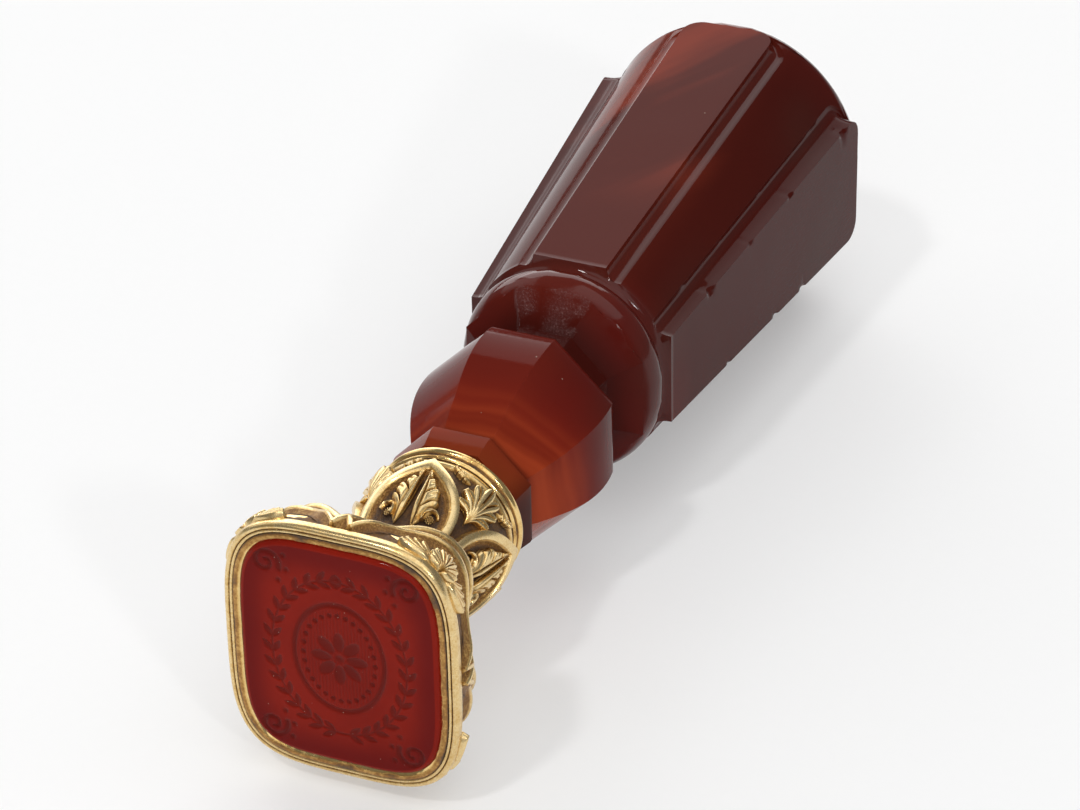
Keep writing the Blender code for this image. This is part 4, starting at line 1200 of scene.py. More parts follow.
@dataclass
class Foot(RadialSurface):
    """The chased foot: a plain rim, strap arches over its corners, and a palmette under each.

    A row of the flare's table says how far along the flare it stands, and how far the sides and the
    corners have closed there from the rim to the waist.
    """

    axis: SealAxis
    outline: StoneOutline
    rim_offset: float = 1.5 * MM
    rim_setback: float = 0.2 * MM
    rim_band: float = 1.05 * MM
    recess_offset: float = 0.65 * MM
    height: float = 10.8 * MM
    waist_radius: float = 5.0 * MM
    ledge_height: float = 3.2 * MM
    wall: float = 0.9 * MM
    lobe_breadth: float = 1.1
    strap_foot: float = 1.35 * MM
    outer_rise: float = 6.1 * MM
    inner_rise: float = 4.25 * MM
    outer_start: float = math.radians(-2)
    inner_start: float = math.radians(5)
    outer_strap: StrapShape = StrapShape(1.15 * MM, 1.1 * MM, bevel=0.16, ridge_share=0.4)
    inner_strap: StrapShape = StrapShape(0.85 * MM, 0.95 * MM, bevel=0.16, ridge_share=0.44)
    ground_depth: float = 0.35 * MM
    ground_slope: Pair = (0.3 * MM, 1.2 * MM)
    ground_start: Pair = (1.2 * MM, 1.55 * MM)
    grain_depth: float = 0.03 * MM
    grain_size: float = 1.0 * MM
    soil_gap: float = 0.6 * MM
    soil_width: float = 0.22 * MM
    corners: tuple[float, ...] = tuple(math.radians(corner) for corner in (49, 131, 229, 311))
    corner_reach: float = 12.2 * MM
    side_reach: float = 8.0 * MM
    hollow_reach: float = 11.0 * MM
    hollow: Pair = (1.45 * MM, 4.0 * MM)
    hollow_size: Pair = (0.5 * MM, 0.5 * MM)
    hollow_depth: float = 0.4 * MM
    columns: int = 560
    rows: int = 90
    flare: tuple[Triple, ...] = (
        (0.0, 0.0, 0.0),
        (0.18, 0.05, 0.08),
        (0.30, 0.20, 0.15),
        (0.46, 0.46, 0.24),
        (0.62, 0.68, 0.34),
        (0.75, 0.80, 0.48),
        (0.88, 0.92, 0.78),
        (1.0, 1.0, 1.0),
    )

    def radius(self, azimuth: np.ndarray, along: np.ndarray, inset: float = 0.0) -> np.ndarray:
        """Distance from the axis to the flare.

        At each height the section is a superellipse between the rim and the round waist, widened at
        its corners by a lobe that goes with |sin 2t|^breadth, where t is the superellipse's own
        angle: tan t = (a/b tan azimuth)^(e/2).
        """
        share = np.clip((along - self.rim_band) / (self.height - self.rim_band), 0.0, 1.0)
        sides, corners = (hermite(np.array(self.flare), share, column) for column in (1, 2))
        rim_x = self.outline.half_width + self.rim_offset
        rim_u = self.outline.half_height + self.rim_offset
        half_x = mix(rim_x, self.waist_radius, sides) - inset
        half_u = mix(rim_u, self.waist_radius, sides) - inset
        rim_power = self.outline.exponent_at(self.rim_offset)
        power = mix(rim_power, 2.0, sides)
        rim_corner = math.hypot(rim_x, rim_u) * 2 ** (-1 / rim_power)
        plain_corner = np.hypot(half_x, half_u) * 2 ** (-1 / power)
        lobe = (mix(rim_corner, self.waist_radius, corners) - inset) / plain_corner - 1
        cosine = np.maximum(np.abs(np.cos(azimuth)), 1e-9)
        sine = np.maximum(np.abs(np.sin(azimuth)), 1e-9)
        own_angle = np.arctan((half_x / half_u * sine / cosine) ** (power / 2))
        plain = ((cosine / half_x) ** power + (sine / half_u) ** power) ** (-1 / power)
        return plain * (1 + lobe * np.abs(np.sin(2 * own_angle)) ** self.lobe_breadth)

    def straps(self) -> list[tuple[np.ndarray, np.ndarray, StrapShape]]:
        """Azimuths, heights and shape of each strap: it springs from one side and arches to the next."""
        share = np.linspace(0.0, 1.0, 81)
        paths = []
        for quarter in QUARTERS:
            for start, rise, shape in (
                (self.outer_start, self.outer_rise, self.outer_strap),
                (self.inner_start, self.inner_rise, self.inner_strap),
            ):
                turn = quarter + mix(start, QUARTER_TURN - start, share)
                along = self.strap_foot + rise * np.sin(math.pi * share) ** 0.75
                paths.append((turn[::-1], along[::-1], shape))
        return paths

    def build(self, material: bpy.types.Material) -> None:
        """Makes the shell with its straps, then the leaves."""
        shell = MeshMaker("recess")
        self.add_shell(shell)
        for turn, along, shape in self.straps():
            profile, recess = shape.profile()
            taper = 0.6 + 0.4 * np.sin(np.linspace(0, math.pi, len(turn))) ** 0.5
            centres = self.point(turn, along, -0.7 * self.ground_depth)
            sweep(shell, centres, self.normal(turn, along), profile, taper, recess)
        dress(shell.finish("foot_shell_chased", SHARP_DEGREES), material, Slot.CHASED_GOLD, "foot_shell")
        leaves = MeshMaker("recess")
        for corner in self.corners:
            self.add_palmette(leaves, corner)
        for middle in QUARTERS:
            self.add_side_sprig(leaves, middle)
        dress(leaves.finish("foot_leaves", SHARP_DEGREES), material, Slot.CHASED_GOLD)

    def add_shell(self, maker: MeshMaker) -> None:
        """Adds the foot's wall from the stone's recess over the rim bead and up the sunk flare."""
        round_once = circle(self.columns)
        along = mix(self.rim_band, self.height, np.linspace(0.0, 1.0, self.rows))[:, None]
        turn, along = np.broadcast_arrays(round_once[None, :], along)
        bare = self.raw(turn, along)
        paths = [self.raw(strap_turn, strap_along) for strap_turn, strap_along, _ in self.straps()]
        distance = nearest(bare, np.concatenate(paths))
        ground = smooth(along, *self.ground_start)
        sunk = ground * mix(0.55, 1.0, smooth(distance, *self.ground_slope))
        holes = self.hollows(turn, along, self.corners, self.hollow_reach, self.hollow, self.hollow_size)
        grain = self.grain_depth * ripple(bare, self.grain_size, 3)
        lift = -self.ground_depth * sunk + grain * ground - self.hollow_depth * holes
        soiled = ridge(distance - self.soil_gap, self.soil_width)
        recess = ground * (0.5 + 0.15 * smooth(distance, 0.5 * MM, 1.5 * MM))
        recess = recess + 0.3 * ground * soiled + 0.8 * holes + 0.06
        bead_offset, bead_along, bead_recess = self.rim_profile()
        bead = np.stack([self.section(round_once, *place) for place in zip(bead_offset, bead_along)])
        inner_along = np.linspace(self.height, self.ledge_height + self.wall, 8)[:, None]
        inner_turn, inner_along = np.broadcast_arrays(round_once[None, :], inner_along)
        inner_radius = self.radius(inner_turn, inner_along, self.wall)
        inside = self.axis.around(inner_radius, inner_turn, inner_along)
        seat = np.stack([
            self.section(round_once, self.recess_offset - self.rim_band, self.ledge_height),
            self.section(round_once, self.recess_offset, self.ledge_height),
        ])
        grid = np.concatenate([bead, self.point(turn, along, lift), inside, seat])
        values = np.concatenate([
            np.broadcast_to(bead_recess[:, None], bead.shape[:2]),
            np.clip(recess, 0.0, 1.0),
            np.ones((len(inside) + len(seat), self.columns)),
        ])
        maker.add_tube(grid, {"recess": values}, ring=True)

    def rim_profile(self) -> tuple[np.ndarray, np.ndarray, np.ndarray]:
        """Offsets, heights and recess values of the rim: a thin bead, a groove and the plain band.

        The bead's section is half an ellipse. The band is highest beside the groove and rounds off
        to the foot's side.
        """
        groove = self.recess_offset + 0.3 * MM
        turn = np.linspace(0.0, math.pi, 9)
        bead = mix(self.recess_offset, groove, (1 - np.cos(turn)) / 2)
        bead_along = self.rim_setback + 0.14 * MM * (1 - np.sin(turn))
        band = mix(groove, self.rim_offset, np.array([0.07, 0.18, 0.32, 0.5, 0.7, 0.85, 0.95, 1.0]))
        band_along = self.rim_setback + MM * np.array([0.12, 0.05, 0.02, 0.04, 0.1, 0.19, 0.3, 0.43])
        side = np.linspace(band_along[-1], self.rim_band, 5)[1:-1]
        recess = np.array([0.95, 0.6, 0.2, 0.06, 0.04, 0.06, 0.2, 0.6, 0.85, 0.6, 0.2] + [0.06] * 9)
        return (
            np.concatenate([bead, band, np.full(3, self.rim_offset)]),
            np.concatenate([bead_along, band_along, side]),
            recess,
        )

    def section(self, turn: np.ndarray, offset: float, along: float) -> np.ndarray:
        """One closed section of the stone's outline, moved outwards."""
        return self.outline.ring(self.axis, turn, offset, along)

    def add_palmette(self, maker: MeshMaker, centre: float) -> None:
        """Adds a fan of blades at a corner and a spray of long blades along the rim on each side."""
        leaves = []
        for base, tip, bow, width in (
            ((0.6, 1.35), (3.9, 1.65), (0.1, -0.3), 0.34),
            ((0.7, 1.45), (3.6, 2.25), (0.1, -0.45), 0.33),
            ((0.7, 1.55), (3.0, 2.7), (0.1, -0.5), 0.3),
            ((0.6, 1.55), (2.3, 2.95), (0.2, -0.4), 0.28),
        ):
            bend = (mix(base[0], tip[0], 0.5) + bow[0], mix(base[1], tip[1], 0.5) + bow[1])
            places = [(across * MM, along * MM) for across, along in (base, bend, tip)]
            leaves.append(Leaf(*places, width * MM, thickness=0.8 * MM, widest=0.6, fullness=0.6))
        for spread, length in ((1.2, 1.35), (0.88, 1.75), (0.56, 2.1), (0.28, 2.35), (0.0, 2.45)):
            places = self.blade_places(1.35 * MM, spread, length * MM, (0.4, 0.6))
            thickness = (1.05 - 0.2 * spread) * MM
            leaves.append(Leaf(*places, 0.34 * MM, thickness=thickness, widest=0.72, fullness=0.4))
        self.grow(maker, centre, self.corner_reach, *leaves)

    def add_side_sprig(self, maker: MeshMaker, centre: float) -> None:
        """Adds three leaflets above the meeting of two straps, in the middle of a side."""
        for spread, length in ((0.0, 2.5), (0.6, 2.0)):
            places = self.blade_places(4.9 * MM, spread, length * MM, (0.2, 0.6))
            leaflet = Leaf(*places, 0.5 * MM, lobes=2, notch=0.3, thickness=0.55 * MM)
            self.grow(maker, centre, self.side_reach, leaflet)

    @staticmethod
    def blade_places(root: float, spread: float, length: float, bend: Pair) -> list[Pair]:
        """Base, bend and tip of a blade that leans by an angle off its root's middle line.

        The bend lies at a share of the tip's distance across and at another of its distance along.
        """
        across, along = length * math.sin(spread), length * math.cos(spread)
        return [(0.0, root), (bend[0] * across, root + bend[1] * along), (across, root + along)]


@dataclass
class Bezel:
    """The collet: a thin wall whose lip is rubbed over the stone, slightly uneven from the tool."""

    axis: SealAxis
    outline: StoneOutline
    clearance: float = 0.25 * MM
    wall: float = 0.3 * MM
    seam_overhang: float = 0.08 * MM
    lip_setback: float = 0.1 * MM
    lip_height: float = 0.42 * MM
    stone_edge: float = 0.5 * MM
    stone_thickness: float = 2.2 * MM
    columns: int = 720

    def build(self, material: bpy.types.Material) -> None:
        """Carries a closed profile round the stone's outline: wall, rounded lip and wall again."""
        seam = self.clearance + self.wall + self.seam_overhang
        over = np.linspace(0.0, 1.0, 9)
        lip = self.lip_setback + self.lip_height * (1 - np.sin(math.pi * (0.22 + 0.52 * over)))
        profile = np.concatenate([
            [(self.clearance, self.stone_thickness), (self.clearance, self.stone_edge + 0.2 * MM)],
            [(0.02 * MM, self.stone_edge * 0.9)],
            np.stack([mix(-0.05 * MM, seam, over), lip], axis=-1),
            [(seam, lip[-1] + 0.3 * MM), (seam, self.stone_thickness)],
        ])
        worn = 0.05 + 0.42 * smooth(over, 0.12, 0.4) + 0.4 * smooth(over, 0.8, 1.0)
        recess = np.concatenate([[1.0, 1.0, 0.9], worn, [1.0, 1.0]])
        turn = circle(self.columns)
        grid = np.stack([self.outline.ring(self.axis, turn, *place) for place in profile])
        shake = 0.022 * MM * ripple(grid, 2.2 * MM, 11) + 0.012 * MM * ripple(grid, 0.8 * MM, 12)
        on_lip = np.zeros(len(profile))
        on_lip[3:-3] = 1.0
        grid[..., 1] += shake * on_lip[:, None]
        patches = 0.28 * smooth(ripple(grid, 3.0 * MM, 13), 0.2, 1.0)
        maker = MeshMaker("recess")
        maker.add_tube(grid, {"recess": np.clip(recess[:, None] + patches, 0.0, 1.0)}, ring=True)
        dress(maker.finish("bezel_burnished", SHARP_DEGREES), material, Slot.POLISHED_GOLD, "bezel")


@dataclass
class CollarRing:
    """The polished ring between cup and handle, turned: a fine step, a groove and a round bead."""

    axis: SealAxis
    base: float = 21.4 * MM
    height: float = 1.35 * MM
    radius: float = 6.7 * MM
    step_radius: float = 6.3 * MM
    step_bulge: float = 0.16 * MM
    step_height: float = 0.36 * MM
    bore: float = 5.2 * MM
    bead: float = 0.75 * MM
    columns: int = 256

    def build(self, material: bpy.types.Material) -> None:
        """Turns the profile round the axis. Its grooves and hidden sides hold the soil."""
        step, half_bead = self.step_radius, self.bead / 2
        top = self.base + self.height
        fine = np.linspace(0.0, math.pi, 9)
        swing = np.linspace(-QUARTER_TURN, QUARTER_TURN, 13)[1:-1]
        fine_along = self.base + 0.05 * MM + self.step_height * fine / math.pi
        bead_radius = step + (self.radius - step) * np.cos(swing) ** 0.8
        profile = np.concatenate([
            [(self.bore, self.base), (step - 0.05 * MM, self.base)],
            np.stack([step + self.step_bulge * np.sin(fine), fine_along], axis=-1),
            [(step - 0.04 * MM, self.base + 0.5 * MM)],
            np.stack([bead_radius, top - half_bead + half_bead * np.sin(swing)], axis=-1),
            [(step, top), (self.bore, top)],
        ])
        recess = np.full(len(profile), 0.08)
        recess[[0, 1, 11, 12, -1, -2]] = (1.0, 0.7, 0.75, 0.55, 1.0, 0.6)
        grid = self.axis.around(profile[:, :1], circle(self.columns)[None, :], profile[:, 1:])
        values = recess[:, None] + 0.3 * smooth(ripple(grid, 2.5 * MM, 21), 0.25, 1.0)
        maker = MeshMaker("recess")
        maker.add_tube(grid, {"recess": np.clip(values, 0.0, 1.0)}, ring=True)
        dress(maker.finish("collar_ring_turned", 40), material, Slot.POLISHED_GOLD, "collar_ring")


@dataclass
class MatrixStone:
    """The engraved stone: a polished plate with a rounded edge and an ornament cut into its face.

    The ornament is a rosette in a hatched oval, inside a wreath of leaves, with a scroll in each
    corner. It is mirrored left and right.
    """

    axis: SealAxis
    outline: StoneOutline
    thickness: float = 2.2 * MM
    edge: float = 0.5 * MM
    depth: float = 0.16 * MM
    columns: int = 268
    rows: int = 322
    button: float = 0.55 * MM
    petals: int = 8
    petal_ring: float = 1.6 * MM
    petal_half: Pair = (0.98 * MM, 0.54 * MM)
    pearls: int = 28
    pearl_ring: Pair = (3.2 * MM, 4.2 * MM)
    pearl_half: float = 0.24 * MM
    oval_half: Pair = (4.0 * MM, 5.2 * MM)
    oval_line: float = 0.22 * MM
    hatching_pitch: float = 0.3 * MM
    hatching_depth: float = 0.22
    wreath_half: Pair = (6.0 * MM, 7.5 * MM)
    wreath_mean: float = 6.7 * MM
    wreath_stem: float = 0.1 * MM
    wreath_pairs: int = 16
    wreath_lean: float = 0.6
    leaf_half: Pair = (0.72 * MM, 0.3 * MM)
    scroll_middle: Pair = (6.25 * MM, 8.05 * MM)
    scroll_radius: float = 1.3 * MM
    scroll_line: float = 0.24 * MM
    bud_ring: float = 1.9 * MM
    bud_half: float = 0.22 * MM

    def build(self, material: bpy.types.Material) -> None:
        """Makes the plate: its face is a square grid spread to the stone's outline."""
        u, v = np.meshgrid(np.linspace(-1, 1, self.columns), np.linspace(-1, 1, self.rows))
        azimuth = np.arctan2(v * self.outline.half_height, u * self.outline.half_width)
        share = np.maximum(np.abs(u), np.abs(v))
        radius = share * self.outline.radius(azimuth, -self.edge)
        across, up = radius * np.cos(azimuth), radius * np.sin(azimuth)
        carving = self.carving(across, up)
        face = self.axis.place(across, up, self.depth * carving)
        border = border_of(azimuth)
        rows = []
        for angle in np.linspace(0.0, QUARTER_TURN, 9)[1:]:
            offset, height = -self.edge * (1 - math.sin(angle)), self.edge * (1 - math.cos(angle))
            rows.append(self.outline.ring(self.axis, border, offset, height))
        rows.append(self.outline.ring(self.axis, border, 0.0, self.thickness))
        maker = MeshMaker("cut", "border")
        values = {"cut": np.clip(carving * 1.6, 0.0, 1.0), "border": smooth(share, 0.7, 0.97)}
        maker.add_plate(face, np.stack(rows), values)
        dress(maker.finish("matrix_stone_engraved", 60), material, Slot.CARNELIAN, "matrix_stone")

    def carving(self, across: np.ndarray, up: np.ndarray) -> np.ndarray:
        """Depth of the engraving as a share of its full depth: the deepest of all its motifs."""
        mirrored = np.abs(across)
        depth = self.rosette(across, up)
        depth = np.maximum(depth, self.oval(across, up))
        depth = np.maximum(depth, self.wreath(mirrored, up))
        for flip in (1.0, -1.0):
            depth = np.maximum(depth, self.scroll(mirrored, up * flip))
        return depth

    def rosette(self, across: np.ndarray, up: np.ndarray) -> np.ndarray:
        """Eight petals, a button and a ring of pearls: each petal is an ellipse off the middle."""
        depth = 1.0 - np.hypot(across, up) / self.button
        for angle in circle(self.pearls):
            gap_across = across - self.pearl_ring[0] * math.cos(angle)
            gap_up = up - self.pearl_ring[1] * math.sin(angle)
            depth = np.maximum(depth, bowl(np.hypot(gap_across, gap_up) / self.pearl_half))
        for angle in circle(self.petals):
            out = across * math.cos(angle) + up * math.sin(angle) - self.petal_ring
            beside = -across * math.sin(angle) + up * math.cos(angle)
            petal = bowl(np.hypot(out / self.petal_half[0], beside / self.petal_half[1]))
            depth = np.maximum(depth, petal)
        return np.clip(depth, 0.0, 1.0)

    def oval(self, across: np.ndarray, up: np.ndarray) -> np.ndarray:
        """A cut line round an oval and, inside it, fine upright hatching."""
        half_x, half_u = self.oval_half
        reach = np.hypot(across / half_x, up / half_u)
        line = ridge((reach - 1.0) * (half_x + half_u) / 2, self.oval_line)
        hatching = self.hatching_depth * (0.5 + 0.5 * np.cos(FULL_TURN * across / self.hatching_pitch))
        inside = 1 - smooth(reach, 0.9, 0.96)
        return np.maximum(line, hatching * inside)

    def wreath(self, across: np.ndarray, up: np.ndarray) -> np.ndarray:
        """Leaves in pairs along an oval: each leaf is a pointed lens that leans off the stem."""
        half_x, half_u = self.wreath_half
        reach = np.hypot(across / half_x, up / half_u)
        depth = 0.6 * ridge((reach - 1.0) * self.wreath_mean, self.wreath_stem)
        for pair in range(self.wreath_pairs):
            angle = mix(-QUARTER_TURN, QUARTER_TURN, (pair + 0.5) / self.wreath_pairs)
            middle = np.array([half_x * math.cos(angle), half_u * math.sin(angle)])
            stem = unit(np.array([-half_x * math.sin(angle), half_u * math.cos(angle)]))
            for lean in (self.wreath_lean, -self.wreath_lean):
                cosine, sine = math.cos(lean), math.sin(lean)
                aim = np.array([stem[0] * cosine - stem[1] * sine, stem[0] * sine + stem[1] * cosine])
                start = middle + aim * 0.7 * MM
                out = (across - start[0]) * aim[0] + (up - start[1]) * aim[1]
                beside = -(across - start[0]) * aim[1] + (up - start[1]) * aim[0]
                lens = np.abs(out / self.leaf_half[0]) ** 1.6 + np.abs(beside / self.leaf_half[1]) ** 1.4
                depth = np.maximum(depth, np.sqrt(np.clip(1 - lens, 0.0, 1.0)))
        return depth

    def scroll(self, across: np.ndarray, up: np.ndarray) -> np.ndarray:
        """A volute in a corner: a spiral that tightens and thins, with three buds on its back."""
        share = np.linspace(0.0, 1.0, 60)
        angle = math.radians(200) - share * math.radians(470)
        radius = self.scroll_radius * (1 - 0.8 * share)
        middle = self.scroll_middle
        path = np.stack([middle[0] + radius * np.cos(angle), middle[1] + radius * np.sin(angle)], -1)
        width = self.scroll_line * (1 - 0.45 * share)
        depth = np.zeros_like(across)
        near = (np.abs(across - middle[0]) < 2.2 * MM) & (np.abs(up - middle[1]) < 2.2 * MM)
        spots = np.stack([across[near], up[near]], -1)
        gaps = np.linalg.norm(spots[:, None] - path[None], axis=-1) / width
        depth[near] = ridge(gaps.min(axis=1), 1.0)
        for degrees in (150, 192, 234):
            spin = math.radians(degrees)
            gap_across = across - middle[0] - self.bud_ring * math.cos(spin)
            gap_up = up - middle[1] - self.bud_ring * math.sin(spin)
            depth = np.maximum(depth, ridge(np.hypot(gap_across, gap_up), self.bud_half))
        return depth


@dataclass
class Handle:
    """The cut hardstone handle: flange, faceted bulb, neck, shoulder, panelled grip and dome.

    The bead's rows give half widths and distances from the shoulder's top, in millimetres, over the
    bead and down into the hollow before the grip. A chip's row gives its place along the seal in
    millimetres, 1 for the upper edge of the right-hand panel or -1 for the lower, and its reach and
    depth in millimetres.
    """

    axis: SealAxis
    oblong: float = 1.06
    base: float = 23.0 * MM
    flange_face: float = 5.85 * MM
    flange_half: float = 6.25 * MM
    flange_bevel: float = 1.95 * MM
    flange_edge: float = 0.45 * MM
    undercut_half: float = 5.2 * MM
    undercut: float = 1.05 * MM
    bulb_length: float = 12.8 * MM
    bulb_half: float = 8.55 * MM
    bulb_end_half: float = 8.05 * MM
    bulb_chamfer: float = 0.04
    bulb_blend_rows: int = 11
    neck_half: float = 5.4 * MM
    neck_slope: float = 2.0 * MM
    neck_length: float = 2.3 * MM
    shoulder_base_half: float = 5.8 * MM
    shoulder_length: float = 2.1 * MM
    shoulder_half: float = 8.45 * MM
    bead_length: float = 2.5 * MM
    hollow_length: float = 1.3 * MM
    grip_length: float = 40.8 * MM
    grip_near: float = 9.6 * MM
    grip_far: float = 12.75 * MM
    top_near: float = 3.45 * MM
    top_far: float = 4.45 * MM
    side_near: float = 4.45 * MM
    side_far: float = 6.55 * MM
    corner_radius: float = 2.0 * MM
    cove: float = 1.35 * MM
    dome: float = 5.3 * MM
    even_face: Pair = (0.42, 0.42)
    bulb_face: Pair = (0.356, 0.394)
    cove_steps: int = 7
    body_steps: int = 16
    panel_shares: tuple[float, ...] = (0.03, 0.07, 0.15, 0.35, 0.65, 0.85, 0.93, 0.97)
    edge_width: float = 0.09 * MM
    edge_degrees: float = 24.0
    lower_right: Pair = (0.85, -0.5)
    # shares of painted shade in the groove, on the flange's lower right and on the neck, then of the
    # bulb's painted glow
    groove_shade: float = 0.9
    flange_shade: float = 0.85
    neck_shade: float = 0.7
    painted_glow_tone: float = 0.5
    facet_gloss: float = 0.6
    cove_gloss: float = 0.4
    scoop: float = 0.75 * MM
    bead_rows: tuple[Pair, ...] = (
        (8.74, 0.04), (8.9, 0.2), (9.05, 0.42), (9.19, 0.7), (9.31, 1.02), (9.4, 1.38), (9.45, 1.75),
        (9.44, 2.05), (9.37, 2.32), (9.23, 2.57), (9.06, 2.79), (8.96, 3.0), (8.95, 3.2), (9.04, 3.4),
        (9.2, 3.57), (9.42, 3.7),
    )
    chips: tuple[tuple[float, int, float, float], ...] = (
        (57.6, 1, 0.8, 0.42),
        (66.0, 1, 0.45, 0.2),
        (74.8, 1, 0.6, 0.3),
        (86.8, 1, 0.9, 0.4),
        (71.8, -1, 0.6, 0.34),
        (77.9, -1, 0.7, 0.36),
        (61.5, -1, 0.4, 0.2),
    )
    bulb_base: float = field(init=False)
    bulb_top: float = field(init=False)
    neck: float = field(init=False)
    shoulder_base: float = field(init=False)
    shoulder_top: float = field(init=False)
    grip_base: float = field(init=False)
    grip_top: float = field(init=False)

    def __post_init__(self) -> None:
        """Works out the heights along the seal, each from the one before it."""
        self.bulb_base = self.base + self.flange_bevel + self.flange_edge + self.undercut
        self.bulb_top = self.bulb_base + self.bulb_length
        self.neck = self.bulb_top + self.neck_slope
        self.shoulder_base = self.neck + self.neck_length
        self.shoulder_top = self.shoulder_base + self.shoulder_length
        self.grip_base = self.shoulder_top + self.bead_length + self.hollow_length
        self.grip_top = self.grip_base + self.grip_length

    @property
    def corner_steps(self) -> int:
        """Steps across one corner, from the side panel's edge to the top panel's."""
        return 2 * self.cove_steps + self.body_steps

    def octagon(self, half: float, along: float, face: Pair | None = None) -> np.ndarray:
        """An octagonal section: the straight diagonal face repeated round the axis."""
        face = face or self.even_face
        half_x, half_u = half, half * self.oblong
        share = np.linspace(0.0, 1.0, self.corner_steps + 1)[:, None]
        corner = mix(np.array([half_x, half_u * face[1]]), np.array([half_x * face[0], half_u]), share)
        return self.close(corner, along)

    def oval(self, half: float, along: float) -> np.ndarray:
        """An oval section, with points in the directions of the octagon's."""
        half_x, half_u = half, half * self.oblong
        low, high = math.atan2(self.even_face[1], 1.0), math.atan2(1.0, self.even_face[0])
        turn = np.linspace(low, high, self.corner_steps + 1)
        section = self.close(np.stack([half_x * np.cos(turn), half_u * np.sin(turn)], -1), along)
        spread = np.hypot(section[:, 0] / half_x, section[:, 1] / half_u)[:, None]
        section[:, :2] /= spread
        return section

    def grip(self, share: float, cut: float = 0.0) -> np.ndarray:
        """A section of the grip: flat panels, a cove beside each and the round body between them."""
        half_x = mix(self.grip_near, self.grip_far, share)
        half_u = half_x * self.oblong
        side = mix(self.side_near, self.side_far, share) - cut
        top = mix(self.top_near, self.top_far, share) - cut

        def on_body(x: float | None = None, u: float | None = None) -> np.ndarray:
            if x is None:
                return np.array([half_x * math.sqrt(max(1 - (u / half_u) ** 2, 0.0)), u])
            return np.array([x, half_u * math.sqrt(max(1 - (x / half_x) ** 2, 0.0))])

        side_edge, top_edge = np.array([half_x, side]), np.array([top, half_u])
        side_foot, top_foot = on_body(u=side + self.cove), on_body(x=top + self.cove)
        bend = np.linspace(0.0, 1.0, self.cove_steps + 1)[:, None]
        side_root = on_body(u=side) - (self.scoop, 0.0)
        top_root = on_body(x=top) - (0.0, self.scoop)
        low = mix(mix(side_edge, side_root, bend), mix(side_root, side_foot, bend), bend)
        high = mix(mix(top_foot, top_root, bend), mix(top_root, top_edge, bend), bend)
        start, end = (math.atan2(foot[1] / half_u, foot[0] / half_x) for foot in (side_foot, top_foot))
        turn = np.linspace(start, end, self.body_steps + 1)
        body = np.stack([half_x * np.cos(turn), half_u * np.sin(turn)], -1)
        corner = np.concatenate([low, body[1:-1], high])
        return self.close(corner, mix(self.grip_base, self.grip_top, share))

    def close(self, corner: np.ndarray, along: float) -> np.ndarray:
        """Mirrors a first-quarter corner round the axis and fills the panels between the corners."""
        quarters = [corner, corner[::-1] * (-1, 1), corner * (-1, -1), corner[::-1] * (1, -1)]
        outline = []
        for index, quarter in enumerate(quarters):
            following = quarters[(index + 1) % 4][0]
            fill = np.array(self.panel_shares)[:, None]
            outline += [quarter, mix(quarter[-1], following, fill)]
        flat = np.concatenate(outline)
        return np.concatenate([flat, np.full((len(flat), 1), along)], axis=1)

    def sections(self) -> list[np.ndarray]:
        """All sections from the flange to the dome's pole."""
        edge = self.base + self.flange_bevel
        under = edge + self.flange_edge
        undercut_start = mix(self.flange_half, self.undercut_half, 0.7)
        rows = [
            self.octagon(self.flange_face, self.base),
            self.octagon(self.flange_half, edge),
            self.octagon(self.flange_half, under),
            self.octagon(undercut_start, under + 0.4 * self.undercut),
        ]
        chamfer = self.bulb_chamfer * self.bulb_length
        side = bezier([
            (self.undercut_half, self.bulb_base),
            (mix(self.undercut_half, self.bulb_half, 0.5), self.bulb_base + 0.24 * self.bulb_length),
            (mix(self.undercut_half, self.bulb_half, 1.17), self.bulb_base + 0.56 * self.bulb_length),
            (mix(self.bulb_end_half, self.bulb_half, 0.5), self.bulb_top - chamfer),
        ], 34)
        for step, (half, along) in enumerate(side):
            blend = min(step / self.bulb_blend_rows, 1.0)
            face = tuple(mix(a, b, blend) for a, b in zip(self.even_face, self.bulb_face))
            rows.append(self.octagon(half, along, face))
        rows.append(self.octagon(self.bulb_end_half, self.bulb_top, self.bulb_face))
        rows.append(self.octagon(mix(self.bulb_end_half, self.neck_half, 0.35),
                                 self.bulb_top + 0.15 * self.neck_slope, self.bulb_face))
        rows.append(self.octagon(self.neck_half, self.neck))
        for share in np.linspace(0.0, 1.0, 7):
            half = mix(self.shoulder_base_half, self.shoulder_half, share ** 1.1)
            rows.append(self.octagon(half, mix(self.shoulder_base, self.shoulder_top - 0.1 * MM, share)))
        for half, along in self.bead_rows:
            rows.append(self.oval(half * MM, self.shoulder_top + along * MM))
        rows += [self.grip(share) for share in np.linspace(0.0, 0.95, 150)]
        for turn in np.linspace(0.0, QUARTER_TURN, 9):
            back = self.corner_radius * (1 - math.sin(turn)) / self.grip_length
            rows.append(self.grip(1.0 - back, self.corner_radius * (1 - math.cos(turn))))
        for turn in np.radians(np.linspace(6, 84, 14)):
            half = self.grip_far * math.cos(turn)
            rows.append(self.oval(half, self.grip_top + self.dome * math.sin(turn)))
        rows.append(self.oval(0.05 * self.grip_far, self.grip_top + self.dome))
        return rows

    def grip_share(self, along: np.ndarray) -> np.ndarray:
        """How far up the grip a height lies: 0 up to its near end and 1 from its far end."""
        return np.clip((along - self.grip_base) / self.grip_length, 0.0, 1.0)

